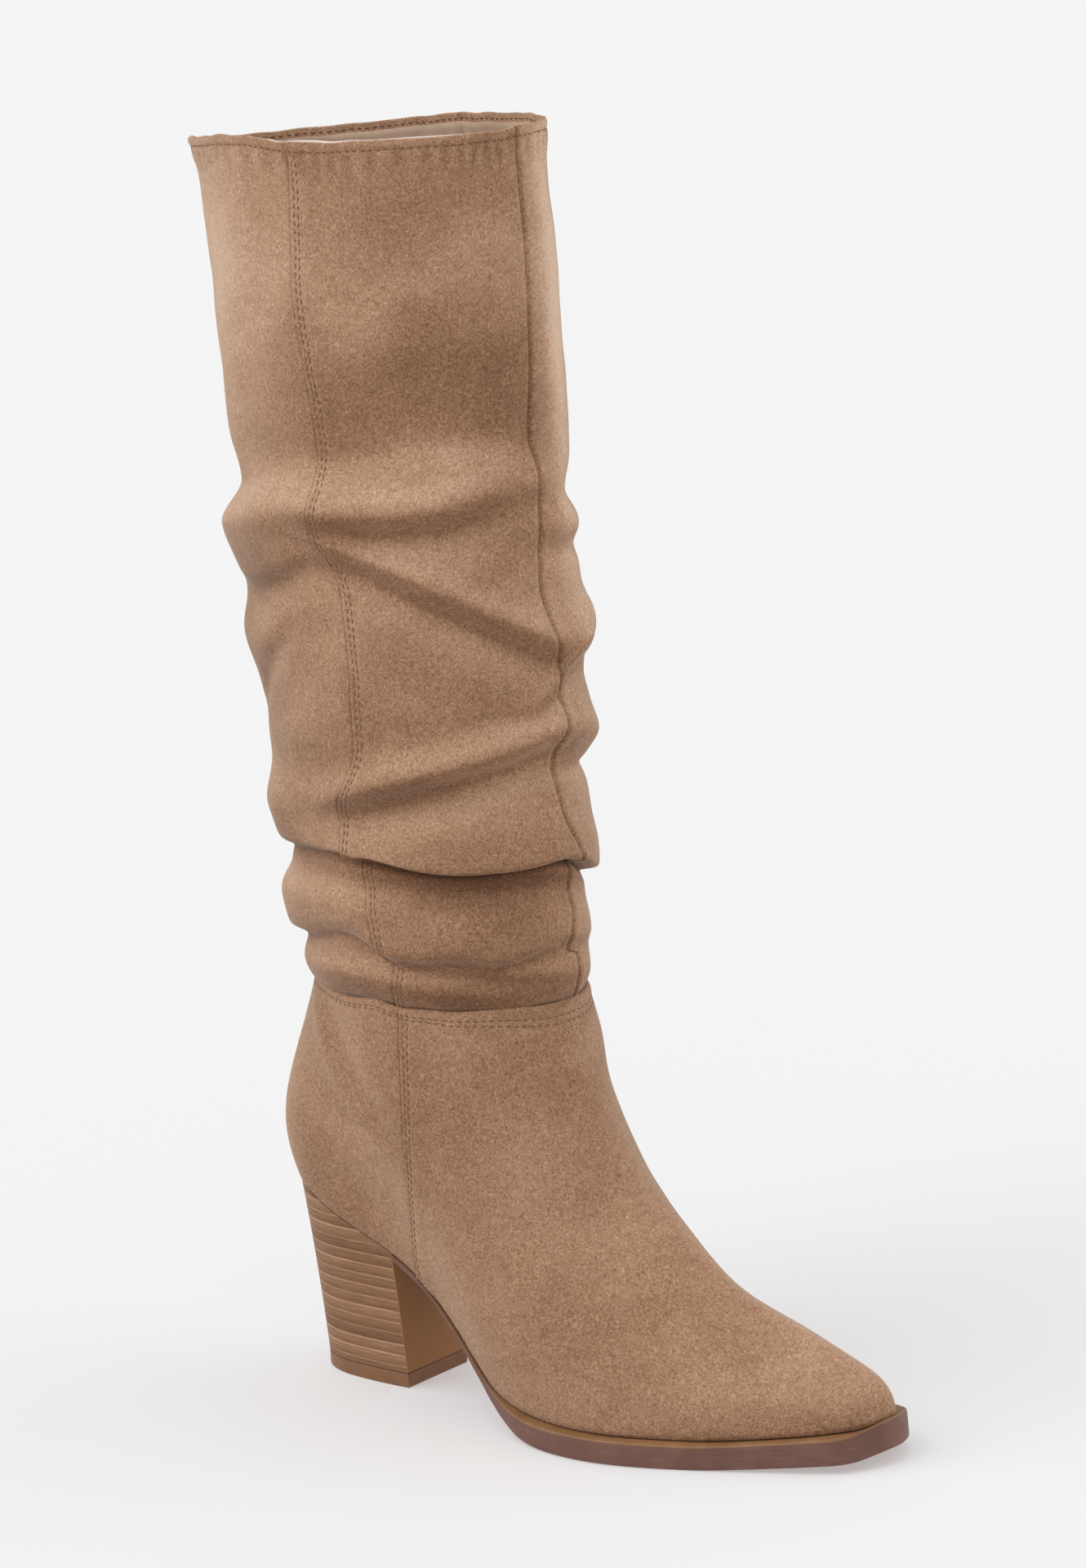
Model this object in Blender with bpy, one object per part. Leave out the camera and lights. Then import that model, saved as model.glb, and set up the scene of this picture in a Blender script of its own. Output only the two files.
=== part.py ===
"""Slouch boot for the right foot, with a pointed toe and a stacked block heel.

X runs along the heel's own centre line towards the toe, Y towards the inner (big toe) side, Z up.
The origin is the middle of the heel lift's resting face. The outsole's tread stands on the same plane.
Going round the boot is counted in turns: 0 at the back, 0.25 at the outer side, 0.5 at the front
and 0.75 at the inner side.
"""

import bpy
import numpy as np

# Driving sizes, in metres
FOOT_LENGTH = 0.2413     # back of the seat to the tip, along the line where upper meets sole
BALL_WIDTH = 0.0770      # the same line across the ball
SEAT_HEIGHT = 0.0540     # top of the sole where it meets the heel, above the floor
TOE_SPRING = 0.0083      # underside of the tip above the floor
TREAD_THICKNESS = 0.0090
LEDGE = 0.0042           # flat edge of the outsole that shows round the forefoot
WAIST_LEDGE = 0.0006     # what is left of that edge at the heel
EDGE_CHAMFER = 0.0008
HEEL_TIP_LENGTH = 0.0472
HEEL_TIP_WIDTH = 0.0350
HEEL_FRONT_WIDTH = 0.0322  # the heel tip across its breast
HEEL_OVERHANG = 0.0042   # how far the seat reaches back past the heel tip
BREAST_LEAN = 0.0024     # how far the top of the heel breast lies ahead of its foot
LIFT_THICKNESS = 0.0055
LIFT_CHAMFER = 0.0006
EDGE_HEIGHT = 0.1535     # top edge of the foot part, above the floor
ANKLE_LENGTH = 0.1120    # the foot part's top edge, front to back
ANKLE_WIDTH = 0.0760
ANKLE_FORWARD = 0.0688   # middle of that edge, ahead of the back of the seat
SHAFT_RISE = 0.3015      # top edge of the foot part up to the rim
RIM_LENGTH = 0.1430
RIM_WIDTH = 0.0900
RIM_LEAN = 0.0160        # how far the rim's middle lies behind the ankle's
FOLD_DEPTH = 0.0100
TUCK = 0.0120            # how far the shaft reaches down inside the foot part
UPPER_WALL = 0.0020
SHAFT_WALL = 0.0016
INSOLE_THICKNESS = 0.0020
INSOLE_CLEARANCE = 0.0014  # between the insole's edge and the wall round it
GAP = 0.0003             # clearance between neighbouring pieces
SOLE_GAP = 0.0005        # the same under the upper's foot, whose edge is straight between its columns

# Shape of the heel, as shares
HEEL_STRAIGHT = 0.46     # straight part of its sides, of the heel tip's length
HEEL_SQUARE = 0.85       # power of the sine that rounds its back: 1 is an ellipse, less is squarer
HEEL_HOLLOW = 0.18       # how much its faces curve in between the lift and the seat

# How finely the surfaces are cut
COLUMNS = 52
UPPER_ROWS = 15
FOLD_ROWS = 25
SMOOTH_ROWS = 6
HEEL_POINTS = 14
HEEL_ROWS = 6
CROSS_LINES = 42
ROUND_LINES = 6
SEAT_ROUND = 0.0200      # metres, round back of the insole
TIP_ROUND = 0.0120       # metres, round tip of the soles
BEND_WEIGHT = 0.060      # metres of run that one radian of bend counts for when columns are spaced
SHARP_DEGREES = 40       # edges that bend more than this are shaded sharp
LINE_SAMPLES = 4000      # points on a finely read curve
WALL_SAMPLES = 101       # heights at which the inside of the foot part is read

SEAT_BACK = -HEEL_TIP_LENGTH / 2 - HEEL_OVERHANG
BREAST = HEEL_TIP_LENGTH / 2 + BREAST_LEAN
ANKLE_MIDDLE = SEAT_BACK + ANKLE_FORWARD

# The shape of the last, given at 19 columns of the foot part's surface.
# turn: where the column ends on the ankle edge. along, across: where it starts on the sole, as shares
# of FOOT_LENGTH and BALL_WIDTH. rise, swell: how it leaves the sole, up and outwards. drop, belly: how it
# reaches the edge, from below and outside. These four are shares of EDGE_HEIGHT.
LAST = {
    "turn": (0.000, 0.070, 0.150, 0.215, 0.270, 0.320, 0.365, 0.405, 0.445, 0.475,
             0.500, 0.525, 0.552, 0.600, 0.660, 0.725, 0.785, 0.850, 0.930),
    "along": (0.000, 0.028, 0.115, 0.231, 0.356, 0.480, 0.605, 0.724, 0.873, 0.960,
              1.000, 0.966, 0.869, 0.693, 0.546, 0.388, 0.240, 0.115, 0.028),
    "across": (0.000, -0.253, -0.351, -0.305, -0.312, -0.403, -0.439, -0.331, -0.088, 0.097,
               0.292, 0.442, 0.539, 0.578, 0.474, 0.286, 0.279, 0.351, 0.253),
    "rise": (0.115, 0.130, 0.180, 0.190, 0.180, 0.170, 0.165, 0.170, 0.190, 0.205,
             0.210, 0.205, 0.185, 0.170, 0.165, 0.180, 0.190, 0.180, 0.130),
    "swell": (0.070, 0.058, 0.035, 0.045, 0.050, 0.020, 0.005, -0.005, -0.020, -0.028,
              -0.030, -0.028, -0.018, 0.000, 0.010, 0.035, 0.040, 0.035, 0.058),
    "drop": (0.215, 0.215, 0.230, 0.260, 0.300, 0.380, 0.470, 0.560, 0.630, 0.658,
             0.665, 0.658, 0.630, 0.520, 0.400, 0.300, 0.260, 0.230, 0.215),
    "belly": (0.078, 0.060, 0.020, 0.015, 0.015, 0.020, 0.030, 0.040, 0.044, 0.046,
              0.046, 0.046, 0.044, 0.040, 0.025, 0.015, 0.015, 0.020, 0.060),
}

# The sole seen from the side. along: share of FOOT_LENGTH. top: height of its upper face, as a share of
# SEAT_HEIGHT. thick: share of TREAD_THICKNESS.
ARCH = {
    "along": (-0.051, 0.012, 0.090, 0.157, 0.223, 0.281, 0.343, 0.397, 0.426,
              0.459, 0.509, 0.559, 0.770, 0.890, 0.944, 0.985, 1.019),
    "top": (1.600, 1.469, 1.293, 1.144, 1.000, 0.835, 0.583, 0.361, 0.265,
            0.211, 0.178, 0.169, 0.167, 0.204, 0.230, 0.252, 0.315),
    "thick": (0.220, 0.220, 0.220, 0.220, 0.220, 0.220, 0.260, 0.380, 0.520,
              0.700, 0.920, 1.000, 1.000, 0.990, 0.980, 0.970, 0.960),
}
LEDGE_START = 0.405      # where the ledge starts to widen and where it is full, as shares of FOOT_LENGTH
LEDGE_FULL = 0.530
TREAD_START = 0.559      # the flat part of the tread, as shares of FOOT_LENGTH
TREAD_END = 0.770

# The shaft without its folds, from the ankle edge up. lean: share of RIM_LEAN. length, width: how far
# it has grown from the ankle's size to the rim's.
SHAFT = {
    "height": (0.000, 0.040, 0.150, 0.350, 0.600, 1.000),
    "lean": (0.000, 0.000, 0.120, 0.310, 0.560, 1.000),
    "length": (-0.150, 0.080, 0.360, 0.650, 0.810, 1.000),
    "width": (-0.340, 0.150, 0.430, 0.860, 1.000, 1.000),
}

# The slouch folds, lowest first. Each is a roll of cloth round the shaft, given at six places: its height
# there as a share of SHAFT_RISE, and how far it swells as a share of FOLD_DEPTH. width: half the height
# of the roll, and droop: how far it hangs down over the one below, both as shares of FOLD_DEPTH.
FOLD_TURNS = (0.000, 0.125, 0.250, 0.375, 0.500, 0.750)
FOLDS = (
    {"name": "edge roll", "height": (0.045, 0.035, 0.040, 0.036, 0.045, 0.045),
     "swell": (0.25, 0.30, 0.10, 0.20, 0.15, 0.20), "width": 0.65, "droop": 0.20},
    {"name": "ankle roll", "height": (0.110, 0.097, 0.112, 0.100, 0.100, 0.105),
     "swell": (0.55, 0.72, 0.45, 0.50, 0.10, 0.45), "width": 1.05, "droop": 0.55},
    {"name": "deep roll", "height": (0.200, 0.213, 0.205, 0.192, 0.185, 0.205),
     "swell": (0.40, 0.55, 0.45, 0.55, 0.45, 0.45), "width": 0.95, "droop": 0.65},
    {"name": "soft roll", "height": (0.300, 0.250, 0.265, 0.300, 0.320, 0.310),
     "swell": (0.25, 0.10, 0.25, 0.35, 0.15, 0.30), "width": 0.95, "droop": 0.25},
    {"name": "cross roll", "height": (0.420, 0.420, 0.475, 0.480, 0.445, 0.430),
     "swell": (0.30, 0.35, 0.35, 0.45, 0.40, 0.30), "width": 1.20, "droop": 0.25},
    {"name": "calf roll", "height": (0.560, 0.550, 0.590, 0.620, 0.600, 0.570),
     "swell": (0.45, 0.65, 0.25, 0.22, 0.05, 0.30), "width": 1.10, "droop": 0.30},
)
# The rim is not quite level: how far it stands above or below SHAFT_RISE, as shares of FOLD_DEPTH
RIM_TURNS = (0.000, 0.125, 0.250, 0.375, 0.500, 0.625, 0.750, 0.875)
RIM_WAVE = (-0.30, -0.10, 0.15, 0.20, 0.10, 0.25, 0.00, -0.45)
RIM_WAVE_START = 0.700   # share of SHAFT_RISE where that begins
FIRST_FOLD_ROW = 0.016   # the shaft's rows of faces lie closer together between these two shares
LAST_FOLD_ROW = 0.660


def closed_spline(knots, values, at):
    """Smooth closed curve through the values at the knots (in turns), read at the places at."""
    knots = np.asarray(knots, float)
    values = np.asarray(values, float)
    step = np.diff(np.append(knots, knots[0] + 1.0))
    slope = np.diff(np.append(values, values[0])) / step
    count = len(knots)
    matrix = np.zeros((count, count))
    right = np.zeros(count)
    for i in range(count):
        before = (i - 1) % count
        matrix[i, before] += step[i]
        matrix[i, i] += 2.0 * (step[before] + step[i])
        matrix[i, (i + 1) % count] += step[before]
        right[i] = 3.0 * (step[i] * slope[before] + step[before] * slope[i])
    tangent = np.linalg.solve(matrix, right)
    place = (np.asarray(at, float) - knots[0]) % 1.0 + knots[0]
    i = np.clip(np.searchsorted(knots, place, side="right") - 1, 0, count - 1)
    j = (i + 1) % count
    t = (place - knots[i]) / step[i]
    return (values[i] * (1 + 2 * t) * (1 - t) ** 2 + tangent[i] * step[i] * t * (1 - t) ** 2
            + values[j] * t * t * (3 - 2 * t) + tangent[j] * step[i] * t * t * (t - 1))


def open_curve(knots, values, at):
    """Smooth open curve through the values at the knots that never swings past them."""
    knots = np.asarray(knots, float)
    values = np.asarray(values, float)
    step = np.diff(knots)
    slope = np.diff(values) / step
    tangent = np.zeros(len(knots))
    same_way = slope[:-1] * slope[1:] > 0
    weight_a = 2 * step[1:] + step[:-1]
    weight_b = step[1:] + 2 * step[:-1]
    safe_a = np.where(same_way, slope[:-1], 1.0)
    safe_b = np.where(same_way, slope[1:], 1.0)
    mean = (weight_a + weight_b) / (weight_a / safe_a + weight_b / safe_b)
    tangent[1:-1] = np.where(same_way, mean, 0.0)
    tangent[0] = slope[0]
    tangent[-1] = slope[-1]
    place = np.clip(np.asarray(at, float), knots[0], knots[-1])
    i = np.clip(np.searchsorted(knots, place, side="right") - 1, 0, len(step) - 1)
    t = (place - knots[i]) / step[i]
    return (values[i] * (1 + 2 * t) * (1 - t) ** 2 + tangent[i] * step[i] * t * (1 - t) ** 2
            + values[i + 1] * t * t * (3 - 2 * t) + tangent[i + 1] * step[i] * t * t * (t - 1))


def sole_top(x):
    """Height of the sole's upper face at x: seat, steep waist, flat ball, and the toe's rise."""
    along = (np.asarray(x, float) - SEAT_BACK) / FOOT_LENGTH
    low = TREAD_THICKNESS
    share = open_curve(ARCH["along"], ARCH["top"], along)
    flat = float(open_curve(ARCH["along"], ARCH["top"], TREAD_END))
    waist = low + (share - flat) / (1.0 - flat) * (SEAT_HEIGHT - low)
    toe_rise = TOE_SPRING - (1.0 - ARCH["thick"][-1]) * low
    toe = low + (share - flat) / (ARCH["top"][-1] - flat) * toe_rise
    return np.where(along > TREAD_END, toe, waist)


def sole_bottom(x):
    """Height of the sole's underside at x. It is exactly zero along the tread."""
    along = (np.asarray(x, float) - SEAT_BACK) / FOOT_LENGTH
    thick = TREAD_THICKNESS * open_curve(ARCH["along"], ARCH["thick"], along)
    under = np.maximum(sole_top(x) - thick, 0.0)
    return np.where((along >= TREAD_START) & (along <= TREAD_END), 0.0, under)


def feather_line(turn):
    """The line where the upper meets the sole, seen from above."""
    x = SEAT_BACK + FOOT_LENGTH * closed_spline(LAST["turn"], LAST["along"], turn)
    y = BALL_WIDTH * closed_spline(LAST["turn"], LAST["across"], turn)
    return np.stack([x, y], -1)


def outward(line):
    """Directions that point out of a closed line of points, seen from above."""
    along = np.roll(line, -1, 0) - np.roll(line, 1, 0)
    along /= np.linalg.norm(along, axis=1, keepdims=True)
    return np.stack([along[:, 1], -along[:, 0]], -1)


def ankle_edge(turn):
    """The foot part's top edge: an oval, level all round."""
    angle = 2 * np.pi * np.asarray(turn, float)
    x = ANKLE_MIDDLE - ANKLE_LENGTH / 2 * np.cos(angle)
    y = -ANKLE_WIDTH / 2 * np.sin(angle)
    return np.stack([x, y, np.full_like(x, EDGE_HEIGHT)], -1)


def upper_surface(turn, climb):
    """Outside of the foot part. Each turn's column is a Bezier curve from the feather line at
    climb 0 to the ankle edge at climb 1."""
    turn = np.asarray(turn, float)
    foot = feather_line(turn)
    start = np.column_stack([foot, sole_top(foot[:, 0]) + SOLE_GAP])
    end = ankle_edge(turn)
    angle = 2 * np.pi * turn
    out_low = np.column_stack([outward(foot), np.zeros(len(turn))])
    out_high = np.stack([-np.cos(angle), -np.sin(angle), np.zeros(len(turn))], -1)
    up = np.array([0.0, 0.0, 1.0])

    def share(name):
        return EDGE_HEIGHT * closed_spline(LAST["turn"], LAST[name], turn)[:, None]

    low = start + share("rise") * up + share("swell") * out_low
    high = end - share("drop") * up + share("belly") * out_high
    t = np.asarray(climb, float)[:, None, None]
    return start * (1 - t) ** 3 + low * 3 * t * (1 - t) ** 2 + high * 3 * t * t * (1 - t) + end * t ** 3


def shaft_surface(turn, height):
    """Outside of the slouch shaft: an oval tube that leans back, with each fold pushed outwards and
    let down over the one below it."""
    turn, height = np.meshgrid(np.asarray(turn, float), np.asarray(height, float))
    angle = 2 * np.pi * turn
    length = ANKLE_LENGTH + (RIM_LENGTH - ANKLE_LENGTH) * open_curve(SHAFT["height"], SHAFT["length"], height)
    width = ANKLE_WIDTH + (RIM_WIDTH - ANKLE_WIDTH) * open_curve(SHAFT["height"], SHAFT["width"], height)
    lean = RIM_LEAN * open_curve(SHAFT["height"], SHAFT["lean"], height)
    swell = np.zeros_like(height)
    droop = np.zeros_like(height)
    for fold in FOLDS:
        centre = closed_spline(FOLD_TURNS, fold["height"], turn)
        depth = closed_spline(FOLD_TURNS, fold["swell"], turn)
        reach = fold["width"] * FOLD_DEPTH / SHAFT_RISE
        roll = np.exp(-((height - centre) / reach) ** 2)
        swell += FOLD_DEPTH * depth * roll
        droop += FOLD_DEPTH * fold["droop"] * depth * roll
    x = ANKLE_MIDDLE - lean - (length / 2 + swell) * np.cos(angle)
    y = -(width / 2 + swell) * np.sin(angle)
    near_rim = np.clip((height - RIM_WAVE_START) / (1.0 - RIM_WAVE_START), 0.0, 1.0)
    wave = FOLD_DEPTH * closed_spline(RIM_TURNS, RIM_WAVE, turn) * near_rim
    z = EDGE_HEIGHT + GAP + SHAFT_RISE * height - droop + wave
    return np.stack([x, y, z], -1)


def even_turns(count):
    """Turns that space the columns evenly along the feather line and the ankle edge together, and
    closer where the feather line bends, seen from above or from the side."""
    fine = np.linspace(0.0, 1.0, LINE_SAMPLES + 1)
    foot = feather_line(fine)
    edge = ankle_edge(fine)
    step = np.diff(foot, axis=0)
    climb = np.diff(sole_top(foot[:, 0]))
    level = np.linalg.norm(step, axis=1)
    run = np.hypot(level, climb) + np.linalg.norm(np.diff(edge, axis=0), axis=1)
    heading = np.unwrap(np.arctan2(step[:, 1], step[:, 0]))
    slope = np.arctan2(climb, level)
    run += BEND_WEIGHT * (np.abs(np.gradient(heading)) + np.abs(np.gradient(slope)))
    way = np.append(0.0, np.cumsum(run))
    return np.interp(np.arange(count) / count * way[-1], way, fine)


def grid_normals(grid):
    """Outward directions of a grid whose rows go up and whose columns go round."""
    around = np.roll(grid, -1, 1) - np.roll(grid, 1, 1)
    up = np.gradient(grid, axis=0)
    normal = np.cross(around, up)
    return normal / np.linalg.norm(normal, axis=2, keepdims=True)


def level_inset(row, distance):
    """A closed row of points moved inwards without changing height."""
    moved = row.copy()
    moved[:, :2] -= distance * outward(row[:, :2])
    return moved


def wall_inside(grid, wall):
    """Inside of a wall of even thickness, level with the outside at both of its edges."""
    inside = grid - wall * grid_normals(grid)
    inside[0] = level_inset(grid[0], wall)
    inside[-1] = level_inset(grid[-1], wall)
    return inside


def make_object(name, points, faces, material):
    """One named object from points and faces, smooth but for its sharp edges."""
    mesh = bpy.data.meshes.new(name)
    mesh.from_pydata([tuple(p) for p in points], [], faces)
    mesh.materials.append(material)
    mesh.validate()
    mesh.shade_smooth()
    mesh.set_sharp_from_angle(angle=np.radians(SHARP_DEGREES))
    item = bpy.data.objects.new(name, mesh)
    bpy.context.scene.collection.objects.link(item)
    return item


def ring_faces(rows, columns, first=0, flip=False):
    """Quads between the rows of a closed grid."""
    faces = []
    for row in range(rows - 1):
        for column in range(columns):
            after = (column + 1) % columns
            a = first + row * columns + column
            b = first + row * columns + after
            quad = (a, b, b + columns, a + columns)
            faces.append(quad[::-1] if flip else quad)
    return faces


def make_wall(name, outside, inside, material):
    """A tube with a wall: its outside, its inside, and the two edges that join them."""
    rows, columns = outside.shape[:2]
    count = rows * columns
    points = np.concatenate([outside.reshape(-1, 3), inside.reshape(-1, 3)])
    faces = ring_faces(rows, columns) + ring_faces(rows, columns, count, True)
    top = (rows - 1) * columns
    for column in range(columns):
        after = (column + 1) % columns
        faces.append((column, count + column, count + after, after))
        faces.append((top + column, top + after, count + top + after, count + top + column))
    return make_object(name, points, faces, material)


def make_stack(name, rings, material):
    """A solid through closed rings, lowest first. A ring starts at the middle of its back, and its two
    sides match point for point, so its ends are closed by strips laid straight across."""
    rows, columns = rings.shape[:2]
    half = columns // 2
    top = (rows - 1) * columns
    strips = [(columns - 1, 0, 1)]
    for i in range(1, (columns - 1) // 2):
        strips.append((columns - i, i, i + 1, columns - i - 1))
    if columns % 2 == 0:
        strips.append((half + 1, half - 1, half))
    faces = ring_faces(rows, columns)
    for strip in strips:
        faces.append(strip[::-1])
        faces.append(tuple(top + i for i in strip))
    return make_object(name, rings.reshape(-1, 3), faces, material)


def make_material(name, colour, roughness):
    material = bpy.data.materials.new(name)
    material.use_nodes = True
    shader = material.node_tree.nodes["Principled BSDF"]
    shader.inputs["Base Color"].default_value = (*colour, 1.0)
    shader.inputs["Roughness"].default_value = roughness
    shader.inputs["Metallic"].default_value = 0.0
    return material


def make_upper(material):
    """Foot part: vamp and quarters in one hollow form, open at the ankle and over the sole."""
    turn = even_turns(COLUMNS)
    climb = np.linspace(0.0, 1.0, UPPER_ROWS)
    outside = upper_surface(turn, climb)
    inside = wall_inside(outside, UPPER_WALL)
    inside[0][:, 2] = sole_top(inside[0][:, 0]) + SOLE_GAP
    return make_wall("upper", outside, inside, material)


def make_shaft(material):
    """Slouch shaft: tucked inside the foot part's top edge, folded above it, open at the rim."""
    turn = even_turns(COLUMNS)
    fine = upper_surface(turn, np.linspace(0.0, 1.0, WALL_SAMPLES))
    inside = wall_inside(fine, UPPER_WALL + GAP)
    tuck = []
    for height in (EDGE_HEIGHT - TUCK, EDGE_HEIGHT - TUCK / 2):
        row = [[np.interp(height, inside[:, i, 2], inside[:, i, k]) for k in (0, 1)] for i in range(len(turn))]
        tuck.append(np.column_stack([row, np.full(len(turn), height)]))
    tuck.append(inside[-1])
    low = np.linspace(FIRST_FOLD_ROW, LAST_FOLD_ROW, FOLD_ROWS)
    high = np.linspace(LAST_FOLD_ROW, 1.0, SMOOTH_ROWS + 1)[1:]
    folded = shaft_surface(turn, np.append(low, high))
    outside = np.concatenate([np.array(tuck), folded])
    return make_wall("shaft", outside, wall_inside(outside, SHAFT_WALL), material)


def cross_lines(start, end, back_round, tip_round):
    """Places along X for the cross lines of a piece that lies along the sole: the same ones for every
    piece in the middle, and its own ones where its ends are round. A shared line that would come within
    a quarter of their spacing of an end is left out."""
    shared = SEAT_BACK + FOOT_LENGTH * np.linspace(0.0, 1.0, CROSS_LINES)
    spare = 0.25 * FOOT_LENGTH / CROSS_LINES
    middle = shared[(shared > start + back_round + spare) & (shared < end - tip_round - spare)]
    bend = np.linspace(0.0, np.pi / 2, ROUND_LINES)
    back = start + back_round * (1 - np.cos(bend)) if back_round > 0 else np.array([start])
    tip = end - tip_round + tip_round * np.sin(bend)
    return np.concatenate([back, middle, tip])


def sole_sides(grow):
    """The feather line grown by grow, cut at its back and its tip into the outer and inner side."""
    turn = np.arange(LINE_SAMPLES) / LINE_SAMPLES
    line = feather_line(turn)
    line = line + grow * outward(line)
    line = np.roll(line, -int(np.argmin(line[:, 0])), 0)
    tip = int(np.argmax(line[:, 0]))
    return line[:tip + 1], np.concatenate([line[tip:], line[:1]])[::-1]


def make_outsole(material):
    """Outsole from the heel breast to the toe: a flat ledge, a straight side, arch and toe spring."""
    outer_side, inner_side = sole_sides(LEDGE)
    x = cross_lines(BREAST + GAP, outer_side[-1, 0], 0.0, TIP_ROUND)
    outer = np.interp(x, outer_side[:, 0], outer_side[:, 1])
    inner = np.interp(x, inner_side[:, 0], inner_side[:, 1])
    along = (x - SEAT_BACK) / FOOT_LENGTH
    narrow = np.interp(along, [LEDGE_START, LEDGE_FULL], [1.0, 0.0]) * (LEDGE - WAIST_LEDGE)
    outer = outer + narrow
    inner = inner - narrow
    top = sole_top(x)
    bottom = sole_bottom(x)
    cut = np.minimum(EDGE_CHAMFER, (top - bottom) * 0.2)
    side = np.minimum(EDGE_CHAMFER, (inner - outer) * 0.3)
    rows = []
    for y, z in ((inner - side, bottom), (inner, bottom + cut), (inner, top - cut), (inner - side, top),
                 (outer + side, top), (outer, top - cut), (outer, bottom + cut), (outer + side, bottom)):
        rows.append(np.stack([x, y, z], -1))
    rings = np.stack(rows, 1)
    count, columns = rings.shape[:2]
    faces = ring_faces(count, columns)
    faces.append(tuple(range(columns))[::-1])
    last = (count - 1) * columns
    faces.append(tuple(last + i for i in range(columns)))
    return make_object("outsole", rings.reshape(-1, 3), faces, material)


def heel_outline():
    """The heel tip seen from above, a D: straight breast, nearly straight sides and a round back."""
    angle = np.linspace(0.0, np.pi / 2, HEEL_POINTS // 2)
    side_start = HEEL_TIP_LENGTH * (0.5 - HEEL_STRAIGHT)
    x_round = side_start - (side_start + HEEL_TIP_LENGTH / 2) * np.cos(angle) ** HEEL_SQUARE
    y_round = -HEEL_TIP_WIDTH / 2 * np.sin(angle) ** HEEL_SQUARE
    x_side = np.linspace(side_start, HEEL_TIP_LENGTH / 2, HEEL_POINTS // 2 + 1)[1:]
    blend = np.linspace(0.0, 1.0, HEEL_POINTS // 2 + 1)[1:]
    y_side = -(HEEL_TIP_WIDTH / 2 + (HEEL_FRONT_WIDTH - HEEL_TIP_WIDTH) / 2 * blend ** 2)
    x = np.append(x_round, x_side)
    y = np.append(y_round, y_side)
    return np.concatenate([np.column_stack([x, y]), np.column_stack([x[1:], -y[1:]])[::-1]])


def heel_rings():
    """The heel's foot outline and its seat outline, point for point."""
    foot = heel_outline()
    outer, inner = sole_sides(0.0)
    half = len(foot) // 2
    share = (foot[:half + 1, 0] - foot[0, 0]) / HEEL_TIP_LENGTH
    share[-1] = 1.0
    x = SEAT_BACK + (BREAST - SEAT_BACK) * share
    y_outer = np.interp(x, outer[:, 0], outer[:, 1])
    y_inner = np.interp(x, inner[:, 0], inner[:, 1])
    y_outer[0] = 0.0
    seat = np.concatenate([np.column_stack([x, y_outer]), np.column_stack([x[1:], y_inner[1:]])[::-1]])
    return foot, seat


def make_heel_block(material):
    """Stacked heel block: from the lift up to the seat, hollowed a little at the back."""
    foot, seat = heel_rings()
    low = LIFT_THICKNESS + GAP
    top = sole_top(seat[:, 0])
    rings = []
    for climb in np.linspace(0.0, 1.0, HEEL_ROWS):
        blend = climb + HEEL_HOLLOW * climb * (climb - 1.0)
        place = foot + (seat - foot) * blend
        rings.append(np.column_stack([place, low + (top - low) * climb]))
    return make_stack("heel_block", np.array(rings), material)


def make_heel_lift(material):
    """Heel lift: the wearing piece under the block."""
    foot = heel_rings()[0]
    rings = []
    for inset, z in ((LIFT_CHAMFER, 0.0), (0.0, LIFT_CHAMFER), (0.0, LIFT_THICKNESS)):
        place = foot - inset * outward(foot)
        rings.append(np.column_stack([place, np.full(len(foot), z)]))
    return make_stack("heel_lift", np.array(rings), material)


def make_insole(material):
    """Insole: lies on the sole and the heel seat, inside the foot part's wall."""
    outer, inner = sole_sides(-(UPPER_WALL + INSOLE_CLEARANCE))
    x = cross_lines(outer[0, 0], outer[-1, 0], SEAT_ROUND, TIP_ROUND)
    y_outer = np.interp(x, outer[:, 0], outer[:, 1])
    y_inner = np.interp(x, inner[:, 0], inner[:, 1])
    middle_back = (y_outer[0] + y_inner[0]) / 2
    middle_tip = (y_outer[-1] + y_inner[-1]) / 2
    y_outer[0] = middle_back
    y_outer[-1] = middle_tip
    seen = np.concatenate([np.column_stack([x, y_outer]), np.column_stack([x[1:-1], y_inner[1:-1]])[::-1]])
    low = sole_top(seen[:, 0]) + GAP
    rings = np.array([np.column_stack([seen, low]), np.column_stack([seen, low + INSOLE_THICKNESS])])
    return make_stack("insole", rings, material)


for old in list(bpy.data.objects):
    bpy.data.objects.remove(old)

suede = make_material("suede", (0.50, 0.37, 0.25), 0.95)
sole_rubber = make_material("sole_rubber", (0.20, 0.11, 0.08), 0.55)
stack_wood = make_material("stacked_heel", (0.24, 0.13, 0.07), 0.50)
lift_rubber = make_material("heel_lift", (0.34, 0.17, 0.06), 0.55)
lining = make_material("insole_lining", (0.58, 0.46, 0.35), 0.80)

make_outsole(sole_rubber)
make_heel_block(stack_wood)
make_heel_lift(lift_rubber)
make_insole(lining)
make_upper(suede)
make_shaft(suede)
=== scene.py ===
"""Slouch boot for the right foot, dressed over its CAD frame.

The boot is put together as the maker does it: foot part, slouch shaft and its lining, outsole,
stacked heel, heel lift, insole, and the stitching last. Lengths are in metres, unless a table says
millimetres. Round the boot, a turn of 0 is the back, 0.25 the outer side, 0.5 the front and 0.75 the
inner side.
"""

import bpy
import numpy as np
from mathutils import Matrix


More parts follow.
